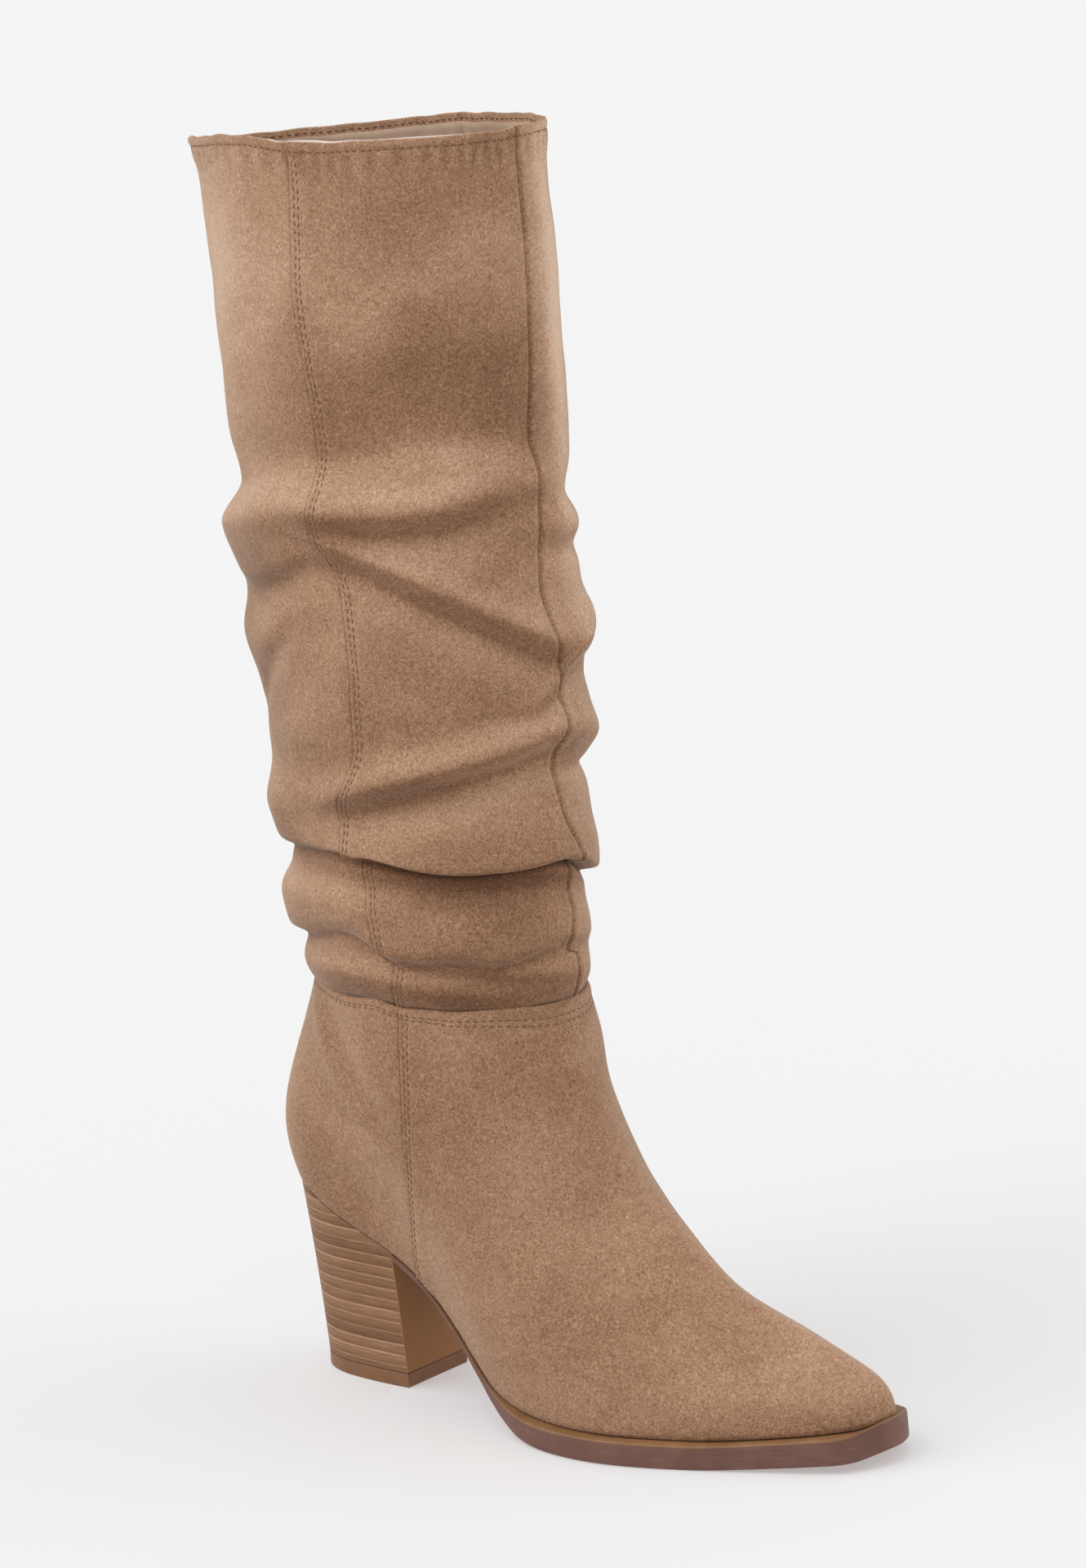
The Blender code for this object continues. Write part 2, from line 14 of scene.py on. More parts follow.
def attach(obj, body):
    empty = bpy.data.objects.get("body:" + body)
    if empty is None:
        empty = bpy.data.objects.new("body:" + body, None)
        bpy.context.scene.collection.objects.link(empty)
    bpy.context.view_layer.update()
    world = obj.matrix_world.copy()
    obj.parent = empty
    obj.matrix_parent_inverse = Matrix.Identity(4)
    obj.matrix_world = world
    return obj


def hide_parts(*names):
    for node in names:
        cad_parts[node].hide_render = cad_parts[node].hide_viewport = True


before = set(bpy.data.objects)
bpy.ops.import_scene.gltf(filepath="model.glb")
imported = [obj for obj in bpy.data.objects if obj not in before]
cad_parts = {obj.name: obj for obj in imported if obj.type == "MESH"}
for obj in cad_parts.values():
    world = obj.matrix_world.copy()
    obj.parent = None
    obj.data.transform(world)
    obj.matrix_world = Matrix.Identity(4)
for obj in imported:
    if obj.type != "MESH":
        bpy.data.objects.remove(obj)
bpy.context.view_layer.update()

# Foot part: vamp and quarters in one closed form, of napped microfibre suede over a stiffened lining.
# It is pulled over the last, cemented under the insole, and joined by a lapped seam with two rows of
# stitches on each side.

FOOT_LENGTH = 0.2413
BALL_WIDTH = 0.0770
SEAT_HEIGHT = 0.0540
TOE_SPRING = 0.0083
TREAD = 0.0090
SEAT_BACK = -0.0278
EDGE_HEIGHT = 0.1535
ANKLE_LENGTH = 0.1120
ANKLE_WIDTH = 0.0760
ANKLE_MIDDLE = 0.0410
FOOT_WALL = 0.0020
SOLE_GAP = 0.0005
OUTER, FRONT, INNER = 0.25, 0.5, 0.75

LAST_TURN = (0.000, 0.070, 0.150, 0.215, 0.270, 0.320, 0.365, 0.405, 0.445, 0.475,
             0.500, 0.525, 0.552, 0.600, 0.660, 0.725, 0.785, 0.850, 0.930)
LAST = {
    "along": (0.000, 0.028, 0.115, 0.231, 0.356, 0.480, 0.605, 0.724, 0.873, 0.960,
              1.000, 0.966, 0.869, 0.693, 0.546, 0.388, 0.240, 0.115, 0.028),
    "across": (0.000, -0.253, -0.351, -0.305, -0.312, -0.403, -0.439, -0.331, -0.088, 0.097,
               0.292, 0.442, 0.539, 0.578, 0.474, 0.286, 0.279, 0.351, 0.253),
    "rise": (0.115, 0.130, 0.180, 0.190, 0.180, 0.170, 0.165, 0.170, 0.190, 0.205,
             0.210, 0.205, 0.185, 0.170, 0.165, 0.180, 0.190, 0.180, 0.130),
    "swell": (0.070, 0.058, 0.035, 0.045, 0.050, 0.020, 0.005, -0.005, -0.020, -0.028,
              -0.030, -0.028, -0.018, 0.000, 0.010, 0.035, 0.040, 0.035, 0.058),
    "drop": (0.215, 0.215, 0.230, 0.260, 0.300, 0.380, 0.470, 0.560, 0.630, 0.658,
             0.665, 0.658, 0.630, 0.520, 0.400, 0.300, 0.260, 0.230, 0.215),
    "belly": (0.078, 0.060, 0.020, 0.015, 0.015, 0.020, 0.030, 0.040, 0.044, 0.046,
              0.046, 0.046, 0.044, 0.040, 0.025, 0.015, 0.015, 0.020, 0.060),
}
ARCH_ALONG = (-0.051, 0.012, 0.090, 0.157, 0.223, 0.281, 0.343, 0.397, 0.426,
              0.459, 0.509, 0.559, 0.770, 0.890, 0.944, 0.985, 1.019)
ARCH_TOP = (1.600, 1.469, 1.293, 1.144, 1.000, 0.835, 0.583, 0.361, 0.265,
            0.211, 0.178, 0.169, 0.167, 0.204, 0.230, 0.252, 0.315)
FLAT_SHARE = 0.167       # share curve along the tread
TREAD_END = 0.770        # where the toe begins to rise, as a share of FOOT_LENGTH
TIP_THIN = 0.04          # how much thinner the sole is at its tip, as a share of TREAD


def cubic(start, end, leave, arrive, t):
    """Cubic from start to end as t goes from 0 to 1, with the slopes leave and arrive there."""
    return (start * (1 + 2 * t) * (1 - t) ** 2 + leave * t * (1 - t) ** 2
            + end * t * t * (3 - 2 * t) + arrive * t * t * (t - 1))


def closed_curve(knots, values, at):
    """Cubics through the values at the knots of one closed turn, with equal slope and bend on both
    sides of each knot."""
    knots, values = np.asarray(knots, float), np.asarray(values, float)
    step = np.diff(np.append(knots, knots[0] + 1.0))
    slope = np.diff(np.append(values, values[0])) / step
    count = len(knots)
    here = np.arange(count)
    before = (here - 1) % count
    matrix = np.zeros((count, count))
    np.add.at(matrix, (here, before), step)
    np.add.at(matrix, (here, here), 2.0 * (step[before] + step))
    np.add.at(matrix, (here, (here + 1) % count), step[before])
    tangent = np.linalg.solve(matrix, 3.0 * (step * slope[before] + step[before] * slope))
    place = (np.asarray(at, float) - knots[0]) % 1.0 + knots[0]
    i = np.clip(np.searchsorted(knots, place, side="right") - 1, 0, count - 1)
    j = (i + 1) % count
    return cubic(values[i], values[j], tangent[i] * step[i], tangent[j] * step[i],
                 (place - knots[i]) / step[i])


def open_curve(knots, values, at):
    """Cubics through the values at the knots that never swing past them: the slope at a knot is the
    weighted harmonic mean of the slopes beside it, or zero where they differ in sign."""
    knots, values = np.asarray(knots, float), np.asarray(values, float)
    step = np.diff(knots)
    slope = np.diff(values) / step
    same_way = slope[:-1] * slope[1:] > 0
    weight_a = 2 * step[1:] + step[:-1]
    weight_b = step[1:] + 2 * step[:-1]
    mean = (weight_a + weight_b) / (weight_a / np.where(same_way, slope[:-1], 1.0)
                                    + weight_b / np.where(same_way, slope[1:], 1.0))
    tangent = np.concatenate([slope[:1], np.where(same_way, mean, 0.0), slope[-1:]])
    place = np.clip(np.asarray(at, float), knots[0], knots[-1])
    i = np.clip(np.searchsorted(knots, place, side="right") - 1, 0, len(step) - 1)
    return cubic(values[i], values[i + 1], tangent[i] * step[i], tangent[i + 1] * step[i],
                 (place - knots[i]) / step[i])


def sole_top(x):
    """Height of the sole's upper face: the share curve, stretched between tread and seat behind the
    tread's end, and between tread and toe spring ahead of it."""
    along = (np.asarray(x, float) - SEAT_BACK) / FOOT_LENGTH
    share = open_curve(ARCH_ALONG, ARCH_TOP, along) - FLAT_SHARE
    waist = TREAD + share / (1.0 - FLAT_SHARE) * (SEAT_HEIGHT - TREAD)
    toe = TREAD + share / (ARCH_TOP[-1] - FLAT_SHARE) * (TOE_SPRING - TIP_THIN * TREAD)
    return np.where(along > TREAD_END, toe, waist)


def feather_line(turn):
    """The line where foot part and sole meet, seen from above, with the direction that points out."""
    def at(place):
        return np.stack([SEAT_BACK + FOOT_LENGTH * closed_curve(LAST_TURN, LAST["along"], place),
                         BALL_WIDTH * closed_curve(LAST_TURN, LAST["across"], place)], -1)
    near = 0.0005
    ahead = at(turn + near) - at(turn - near)
    ahead /= np.linalg.norm(ahead, axis=-1, keepdims=True)
    return at(turn), np.stack([ahead[..., 1], -ahead[..., 0]], -1)


def foot_surface(turn, climb):
    """Outside of the foot part: for each turn a Bezier curve of four points from the feather line at
    climb 0 to the level ankle oval at climb 1."""
    foot, away = feather_line(turn)
    zero = np.zeros_like(turn)
    angle = 2 * np.pi * turn
    start = np.stack([foot[..., 0], foot[..., 1], sole_top(foot[..., 0]) + SOLE_GAP], -1)
    end = np.stack([ANKLE_MIDDLE - ANKLE_LENGTH / 2 * np.cos(angle),
                    -ANKLE_WIDTH / 2 * np.sin(angle), zero + EDGE_HEIGHT], -1)
    out_low = np.stack([away[..., 0], away[..., 1], zero], -1)
    out_high = np.stack([-np.cos(angle), -np.sin(angle), zero], -1)
    up = np.array([0.0, 0.0, 1.0])
    rise, swell, drop, belly = (EDGE_HEIGHT * closed_curve(LAST_TURN, LAST[k], turn)[..., None]
                                for k in ("rise", "swell", "drop", "belly"))
    low = start + rise * up + swell * out_low
    high = end - drop * up + belly * out_high
    t = climb[..., None]
    return (start * (1 - t) ** 3 + low * 3 * t * (1 - t) ** 2 + high * 3 * t * t * (1 - t)
            + end * t ** 3)


def crowded_turns(count, crowd):
    """Turns spaced evenly along the feather line plus the ankle oval, and closer near the seams: the
    spacing is divided by 1 plus a flat-topped bell curve at each place in crowd, which also holds how
    many times closer the turns are there and how far that reaches."""
    fine = np.linspace(0.0, 1.0, 8001)
    foot = feather_line(fine)[0]
    angle = 2 * np.pi * fine
    edge = np.stack([ANKLE_LENGTH / 2 * np.cos(angle), ANKLE_WIDTH / 2 * np.sin(angle)], -1)
    run = (np.hypot(np.linalg.norm(np.diff(foot, axis=0), axis=1), np.diff(sole_top(foot[:, 0])))
           + np.linalg.norm(np.diff(edge, axis=0), axis=1))
    middle = (fine[1:] + fine[:-1]) / 2
    for place, times, reach in crowd:
        run = run * (1 + (times - 1) * np.exp(-((middle - place) / reach) ** 4))
    way = np.append(0.0, np.cumsum(run))
    turns = np.interp(np.arange(count) / count * way[-1], way, fine)
    for place in (OUTER, FRONT, INNER):
        turns[column_at(turns, place)] = place
    return turns


def column_at(turns, place):
    """The column whose turn is nearest to place."""
    return int(np.argmin(np.abs(turns - place)))


def spaced(*bands):
    """Rows spaced evenly within each band of start, stop and count. Each band begins on the last row
    of the one before."""
    return np.concatenate([np.linspace(*band)[:-1] for band in bands[:-1]]
                          + [np.linspace(*bands[-1])])


def normals(grid):
    """Outward unit directions of a grid: the cross product of its steps round and its steps up."""
    across = np.cross(np.roll(grid, -1, 1) - np.roll(grid, 1, 1), np.gradient(grid, axis=0))
    return across / np.maximum(np.linalg.norm(across, axis=2, keepdims=True), 1e-12)


def run_from(grid, column):
    """How far along its row each point lies from the given column, in millimetres."""
    steps = np.linalg.norm(np.diff(grid, axis=1, prepend=grid[:, :1]), axis=2)
    way = np.cumsum(steps, axis=1) * 1000
    return way - way[:, column:column + 1]


def bell(x, wide):
    """Bell curve of height 1: e to the minus square of x over wide."""
    return np.exp(-(x / wide) ** 2)


def ease(x):
    """Smooth step from 0 to 1 as x goes from 0 to 1."""
    x = np.clip(x, 0.0, 1.0)
    return x * x * (3 - 2 * x)


SEAM_STITCHES = (1.75, 3.45)     # millimetres ahead of the seam


def lapped_seam(s):
    """Height in millimetres across a lapped seam, s millimetres ahead of it: the front panel's folded
    edge stands up with a bead, two stitch rows are pulled in beside it, and it fades out further on."""
    near, far = SEAM_STITCHES
    lap = 0.90 * ease((s + 0.35) / 0.7) * (1 - ease((s - 4.5) / 9.0))
    bead = 0.28 * bell(s - 0.55, 0.45) - 0.30 * bell(s + 0.65, 0.55)
    rows = -0.22 * bell(s - near, 0.40) - 0.20 * bell(s - far, 0.40) + 0.08 * bell(s - 2.6, 0.4)
    return lap + bead + rows


def seam_shade(s):
    """Tone across a lapped seam, as painted light and shade: a painted highlight on the bead and
    painted shade in the step behind it.
    """
    return 0.09 * bell(s - 0.3, 0.5) - 0.12 * bell(s + 0.8, 0.6)


def ripple(grid, seed, pitch, terms=14):
    """Gentle unevenness between about -1 and 1: a sum of sine waves through space, each with its own
    direction and a wave length near pitch metres."""
    draw = np.random.default_rng(seed)
    way = draw.normal(size=(terms, 3))
    length = pitch * draw.uniform(0.6, 1.8, terms)
    way *= (2 * np.pi / length / np.linalg.norm(way, axis=1))[:, None]
    start = draw.uniform(0, 2 * np.pi, terms)
    return sum(np.sin(grid @ w + p) for w, p in zip(way, start)) / np.sqrt(terms)


def rolled_lip(outside, inside, rise):
    """Three rings that roll an edge over from outside to inside: each mixes the two by its share and
    is lifted by rise, the middle one by half as much again."""
    return np.stack([outside * share + inside * (1 - share) + np.array([0, 0, rise * lift])
                     for share, lift in ((0.85, 1.0), (0.50, 1.5), (0.15, 1.0))])


def skin(name, grid, material, ring=False, marks=None, caps=()):
    """A surface of quads through a grid whose columns go round. With ring, its last row joins its
    first, so it is closed. marks are values kept at its points for the material, and caps are rings of
    points that are closed by one flat face each."""
    index = np.arange(grid.shape[0] * grid.shape[1]).reshape(grid.shape[:2])
    low, high = (index, np.roll(index, -1, 0)) if ring else (index[:-1], index[1:])
    quads = np.stack([low, np.roll(low, -1, 1), np.roll(high, -1, 1), high], -1).reshape(-1, 4)
    return surface(name, grid.reshape(-1, 3), quads, material, marks, caps)


def surface(name, points, quads, material, marks=None, caps=()):
    """A smooth mesh object from points, four-sided faces and caps."""
    corners = np.concatenate([quads.ravel(), *caps])
    sides = np.concatenate([[0], np.full(len(quads), 4), [len(c) for c in caps]])
    starts = np.cumsum(sides)[:-1]
    mesh = bpy.data.meshes.new(name)
    mesh.vertices.add(len(points))
    mesh.vertices.foreach_set("co", np.asarray(points, np.float32).ravel())
    mesh.loops.add(len(corners))
    mesh.loops.foreach_set("vertex_index", corners.astype(np.int32))
    mesh.polygons.add(len(starts))
    mesh.polygons.foreach_set("loop_start", starts.astype(np.int32))
    mesh.update(calc_edges=True)
    mesh.validate()
    mesh.shade_smooth()
    for mark, values in (marks or {}).items():
        attribute = mesh.attributes.new(mark, "FLOAT", "POINT")
        attribute.data.foreach_set("value", np.float32(values).ravel())
    for one in material if isinstance(material, tuple) else (material,):
        mesh.materials.append(one)
    item = bpy.data.objects.new(name, mesh)
    bpy.context.scene.collection.objects.link(item)
    return item


def seam_turns(even, level, knots, side, front=None):
    """Turns of the grid after its columns are bent to follow the seams, whose turns at the levels in
    knots are given: each seam's offset fades out round it as a bell curve. The inner seam mirrors the
    outer one."""
    off = open_curve(knots, side, level) - OUTER
    turn = even + off * bell(even - OUTER, 0.09) - off * bell(even - INNER, 0.09)
    if front is not None:
        turn = turn + (open_curve(knots, front, level) - FRONT) * bell(even - FRONT, 0.07)
    return turn


def new_material(name):
    """An empty material, its nodes and its shader."""
    material = bpy.data.materials.new(name)
    material.use_nodes = True
    nodes = material.node_tree.nodes
    return material, nodes, nodes["Principled BSDF"]


def fill(node, inputs):
    """Sets a node's inputs by name or number: a socket is joined, anything else is its value."""
    for key, value in inputs.items():
        if isinstance(value, bpy.types.NodeSocket):
            node.id_data.links.new(value, node.inputs[key])
        else:
            node.inputs[key].default_value = value


def add(nodes, kind, out, inputs, **settings):
    """A node with its settings and inputs, given back as its output named or numbered out."""
    node = nodes.new("ShaderNode" + kind)
    for key, value in settings.items():
        setattr(node, key, value)
    fill(node, inputs)
    return node.outputs[out]


def own_place(nodes, **stretch):
    """Each point's place in the object's own space, turned or scaled where stretch says so."""
    place = add(nodes, "TexCoord", "Object", {})
    return add(nodes, "Mapping", 0, {"Vector": place, **stretch}) if stretch else place


def own_mark(nodes, name):
    """The value kept at each point under a name."""
    return add(nodes, "Attribute", "Fac", {}, attribute_name=name)


def noise(nodes, place, scale, detail, roughness=0.5, distortion=0.0):
    """Cloudy noise between 0 and 1 through the places."""
    return add(nodes, "TexNoise", "Fac", {"Vector": place, "Scale": scale, "Detail": detail,
                                          "Roughness": roughness, "Distortion": distortion})


def weigh(nodes, value, share, rest):
    """value times share, plus rest."""
    return add(nodes, "Math", 0, {0: value, 1: share, 2: rest}, operation="MULTIPLY_ADD")


def blend(nodes, share, first, second, kind="MIX"):
    """Colour that goes from first to second, or is multiplied by it, as share goes from 0 to 1."""
    return add(nodes, "Mix", 2, {0: share, 6: first, 7: second}, data_type="RGBA", blend_type=kind)


def bumped(nodes, height, strength, distance):
    """Surface direction bumped by height."""
    return add(nodes, "Bump", 0, {"Height": height, "Strength": strength, "Distance": distance})


def ramp(nodes, value, stops):
    """Colour read at value from (place, colour) pairs, with colours as linear red, green and blue."""
    node = nodes.new("ShaderNodeValToRGB")
    band = node.color_ramp.elements
    while len(band) < len(stops):
        band.new(0.5)
    for element, (place, colour) in zip(band, stops):
        element.position = place
        element.color = (*colour, 1.0)
    fill(node, {0: value})
    return node.outputs[0]


def suede_material(name):
    """Napped suede: broad brushed patches, cloudy mottling, and a speckle of short fibres, each a
    noise through the object's own space. The tone kept at each point lightens or darkens the nap: it
    holds the nap's own tone together with painted light and shade."""
    material, nodes, shader = new_material(name)
    place = own_place(nodes)
    lay = own_place(nodes, Rotation=(0.5, 0.6, 0.4), Scale=(0.8, 0.8, 1.3))
    patch = add(nodes, "MapRange", 0, {0: noise(nodes, lay, 19.0, 5.0, 0.55, 0.9), 1: 0.38, 2: 0.62},
                interpolation_type="SMOOTHSTEP")
    cloud = noise(nodes, place, 110.0, 3.0, 0.55, 0.6)
    curl = noise(nodes, place, 640.0, 2.0, 0.6, 1.6)
    hair = noise(nodes, place, 1250.0, 2.0, 0.65, 0.6)
    shade = weigh(nodes, patch, 0.09, 0.07)
    for part, share in ((cloud, 0.10), (curl, 0.72), (hair, 0.95)):
        shade = weigh(nodes, part, share, shade)
    shade = add(nodes, "Math", 0, {0: shade, 1: own_mark(nodes, "tone")}, operation="ADD")
    spread = add(nodes, "MapRange", 0, {0: shade, 1: 0.50, 2: 1.52})
    colour = ramp(nodes, spread, (
        (0.0, (0.145, 0.068, 0.035)), (0.30, (0.268, 0.138, 0.077)), (0.52, (0.392, 0.220, 0.130)),
        (0.75, (0.525, 0.325, 0.208)), (1.0, (0.700, 0.485, 0.345))))
    fill(shader, {"Base Color": colour, "Roughness": 0.95, "Specular IOR Level": 0.12,
                  "Sheen Weight": 0.60, "Sheen Roughness": 0.35,
                  "Sheen Tint": (1.0, 0.86, 0.72, 1.0),
                  "Normal": bumped(nodes, weigh(nodes, curl, 0.6, hair), 0.70, 0.0006)})
    return material


def lining_material(name):
    """Woven lining: a fine level wave for the threads and a fleck over a soft uneven beige. Where the
    mark cut is 1 it is the pale raw edge."""
    material, nodes, shader = new_material(name)
    place = own_place(nodes)
    weave = add(nodes, "TexWave", "Fac", {"Vector": place, "Scale": 420.0, "Distortion": 0.8,
                                          "Detail": 1.0}, wave_type="BANDS", bands_direction="Z")
    cloth = weigh(nodes, noise(nodes, place, 900.0, 2.0, 0.6), 0.35, noise(nodes, place, 35.0, 3.0))
    cloth = weigh(nodes, weave, 0.12, cloth)
    beige = ramp(nodes, cloth, ((0.35, (0.33, 0.215, 0.145)), (0.65, (0.44, 0.305, 0.215)),
                                (0.95, (0.54, 0.39, 0.285))))
    colour = blend(nodes, own_mark(nodes, "cut"), beige, (0.88, 0.78, 0.74, 1.0))
    fill(shader, {"Base Color": colour, "Roughness": 0.85, "Specular IOR Level": 0.2,
                  "Normal": bumped(nodes, cloth, 0.4, 0.0003)})
    return material


suede = suede_material("taupe_suede")
lining = lining_material("beige_lining")

FOOT_SEAM_CLIMB = (0.0, 0.15, 0.35, 0.6, 0.8, 1.0)
FOOT_SEAM_TURN = (0.234, 0.237, 0.247, 0.262, 0.272, 0.277)
# How far the top edge rises or dips round the boot, in millimetres
EDGE_TURN = (0.00, 0.08, 0.16, 0.22, 0.247, 0.262, 0.30, 0.34, 0.39, 0.44, 0.50, 0.58, 0.68, 0.75,
             0.84, 0.92)
EDGE_RISE = (0.6, 0.8, 0.2, 0.1, 0.9, -0.1, -0.5, -0.6, 0.5, 0.2, 0.3, 0.2, 0.4, -0.2, 0.5, -0.2)
# The dent across the instep, the swell behind the toe, the bulge at the edge and the full heel:
# millimetres out, then turn and climb, each with its reach
FOOT_FORMS = ((-3.2, 0.53, 0.07, 0.47, 0.11), (1.6, 0.52, 0.07, 0.12, 0.08),
              (1.8, 0.585, 0.045, 0.93, 0.06), (1.1, 0.08, 0.07, 0.40, 0.35))
EDGE_STITCHES = (2.0, 3.2)       # millimetres below the top edge
FOOT_CLIMB_RUN = 150             # millimetres from the sole to the edge, near the edge

foot_columns = crowded_turns(400, ((OUTER, 4.0, 0.012), (INNER, 4.0, 0.012)))
foot_rows = spaced((0.0, 0.02, 4), (0.02, 0.965, 132), (0.965, 1.0, 9))
foot_even, foot_climb = np.meshgrid(foot_columns, foot_rows)
foot_turn = seam_turns(foot_even, foot_climb, FOOT_SEAM_CLIMB, FOOT_SEAM_TURN)
foot_base = foot_surface(foot_turn, foot_climb)
foot_out = normals(foot_base)
foot_seam_outer = column_at(foot_columns, OUTER)
foot_seam_inner = column_at(foot_columns, INNER)
foot_seams = (run_from(foot_base, foot_seam_outer), -run_from(foot_base, foot_seam_inner))


def quarter_crease(turn, climb):
    """Soft diagonal ridge on each quarter behind the seam, millimetres: a bell curve across a line that
    runs from the back of the edge down towards the seam, with a shallow trough ahead of it."""
    line = 0.115 + 0.115 * (1 - climb) / 0.55
    strength = ease((climb - 0.48) / 0.25) * ease((1.02 - climb) / 0.12)
    outer, inner = turn - line, (1 - turn) - line
    return strength * (1.0 * bell(outer, 0.020) - 1.0 * bell(outer - 0.038, 0.022)
                       + 0.9 * bell(inner, 0.022) - 0.7 * bell(inner - 0.04, 0.024))


foot_form = sum(out * bell(foot_turn - turn, wide) * bell(foot_climb - climb, tall)
                for out, turn, wide, climb, tall in FOOT_FORMS)
foot_relief = sum(lapped_seam(ahead) for ahead in foot_seams)
foot_relief += quarter_crease(foot_turn, foot_climb) + foot_form
foot_relief += (0.35 * ripple(foot_base, 11, 0.060) * ease(foot_climb / 0.2)
                + 0.10 * ripple(foot_base, 12, 0.018))
below_edge = (1 - foot_climb) * FOOT_CLIMB_RUN
foot_relief += (-0.28 * bell(below_edge - EDGE_STITCHES[0], 0.45)
                - 0.26 * bell(below_edge - EDGE_STITCHES[1], 0.45)
                + 0.25 * bell(below_edge - 0.9, 0.9))
foot_relief *= ease(foot_climb / 0.012)
foot_relief -= 0.35 * bell(foot_climb, 0.010)
foot_outside = foot_base + foot_out * foot_relief[..., None] / 1000
foot_outside[..., 2] += closed_curve(EDGE_TURN, EDGE_RISE, foot_turn) * foot_climb ** 8 / 1000
foot_inside_rows = np.linspace(len(foot_rows) - 1, 0, 26).astype(int)
foot_inside = (foot_base + foot_out * (foot_form[..., None] / 1000 - FOOT_WALL))[foot_inside_rows]
foot_inside[-1, :, 2] = foot_base[0, :, 2]
foot_inside[0, :, 2] = foot_outside[-1, :, 2]
foot_lip = rolled_lip(foot_outside[-1], foot_inside[0], 0.0006)
foot_grid = np.concatenate([foot_outside, foot_lip, foot_inside])

# Suede tone of the foot part: a random ripple, with painted shade along its foot where the suede meets
# the sole.
foot_tone_and_painted_light = 0.03 * ripple(foot_base, 21, 0.050) - 0.07 * bell(foot_climb, 0.02)
# Painted light from above: faces that look up are lighter, those that look down darker.
foot_tone_and_painted_light += 0.22 * np.clip(foot_out[..., 2], -0.4, 0.9) - 0.05
# Painted highlight on each seam's bead and painted shade in its step.
foot_tone_and_painted_light += sum(seam_shade(ahead) for ahead in foot_seams)
# Painted light on the outer quarter towards the back, the side that faces the key sun.
foot_tone_and_painted_light += 0.10 * bell(foot_turn - 0.20, 0.06) * ease(foot_climb / 0.2)
unseen_rows = len(foot_grid) - len(foot_rows)
foot_tone_and_painted_light = np.concatenate([foot_tone_and_painted_light, np.zeros((unseen_rows, len(foot_columns)))])
foot = skin("foot_part", foot_grid, (suede, lining), ring=True, marks={"tone": foot_tone_and_painted_light})
inner_faces = np.zeros(foot_grid.shape[:2], np.int32)
inner_faces[len(foot_rows) + len(foot_lip):] = 1
foot.data.polygons.foreach_set("material_index", inner_faces.ravel())
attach(foot, "root")
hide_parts("upper")

# Slouch shaft: one wide tube of the same suede, lined, sewn up with a lapped seam on each side and a
# plain seam down the front. It is tucked inside the foot part's edge, and its spare length falls into
# rolls above the ankle.

SHAFT_RISE = 0.3015
SHAFT_HEIGHT = (0.000, 0.040, 0.150, 0.350, 0.600, 1.000)
SHAFT_LEAN = (0.000, 0.000, 0.120, 0.310, 0.560, 1.000)
SHAFT_LENGTH = (-0.150, 0.080, 0.360, 0.650, 0.810, 1.000)
SHAFT_WIDTH = (-0.340, 0.150, 0.430, 0.860, 1.000, 1.000)
RIM_LENGTH = 0.1430
RIM_WIDTH = 0.0900
RIM_LEAN = 0.0160
CLOTH = 0.0010
SHAFT_FOOT, TUCK_TOP, SHAFT_TOP = 142.0, 156.0, 455.0    # heights in millimetres
RIM_STITCHES, HEM_STITCHES = 2.7, 1.4                    # millimetres below the rim
GATHERS = 6.5                                            # the same for the gathers' middle

# Where the seams run, by height in millimetres
SEAM_HEIGHT = (141, 153, 156, 171, 173, 184, 197, 206, 209, 222, 235, 247, 260, 278, 293, 304, 312,
               322, 331, 343, 355, 383, 403, 428, 448, 458)
OUTER_SEAM = (.262, .269, .272, .278, .264, .262, .255, .248, .234, .236, .254, .265, .267, .270,
              .270, .266, .258, .248, .252, .254, .255, .253, .252, .257, .259, .254)
FRONT_SEAM = (.505, .510, .516, .512, .492, .494, .498, .505, .516, .486, .482, .484, .496, .488,
              .477, .472, .476, .479, .481, .482, .474, .483, .486, .488, .488, .491)
# How far the rim rises or dips round the boot, in millimetres
RIM_TURN = (0.00, 0.06, 0.115, 0.17, 0.22, 0.25, 0.30, 0.36, 0.42, 0.48, 0.54, 0.60, 0.68, 0.76,
            0.84, 0.92)
RIM_RISE = (-3.9, -1.8, -0.3, 2.0, 2.6, 1.7, 1.2, 2.6, 3.0, 3.6, 4.0, 3.9, 2.8, 0.8, -2.2, -4.2)

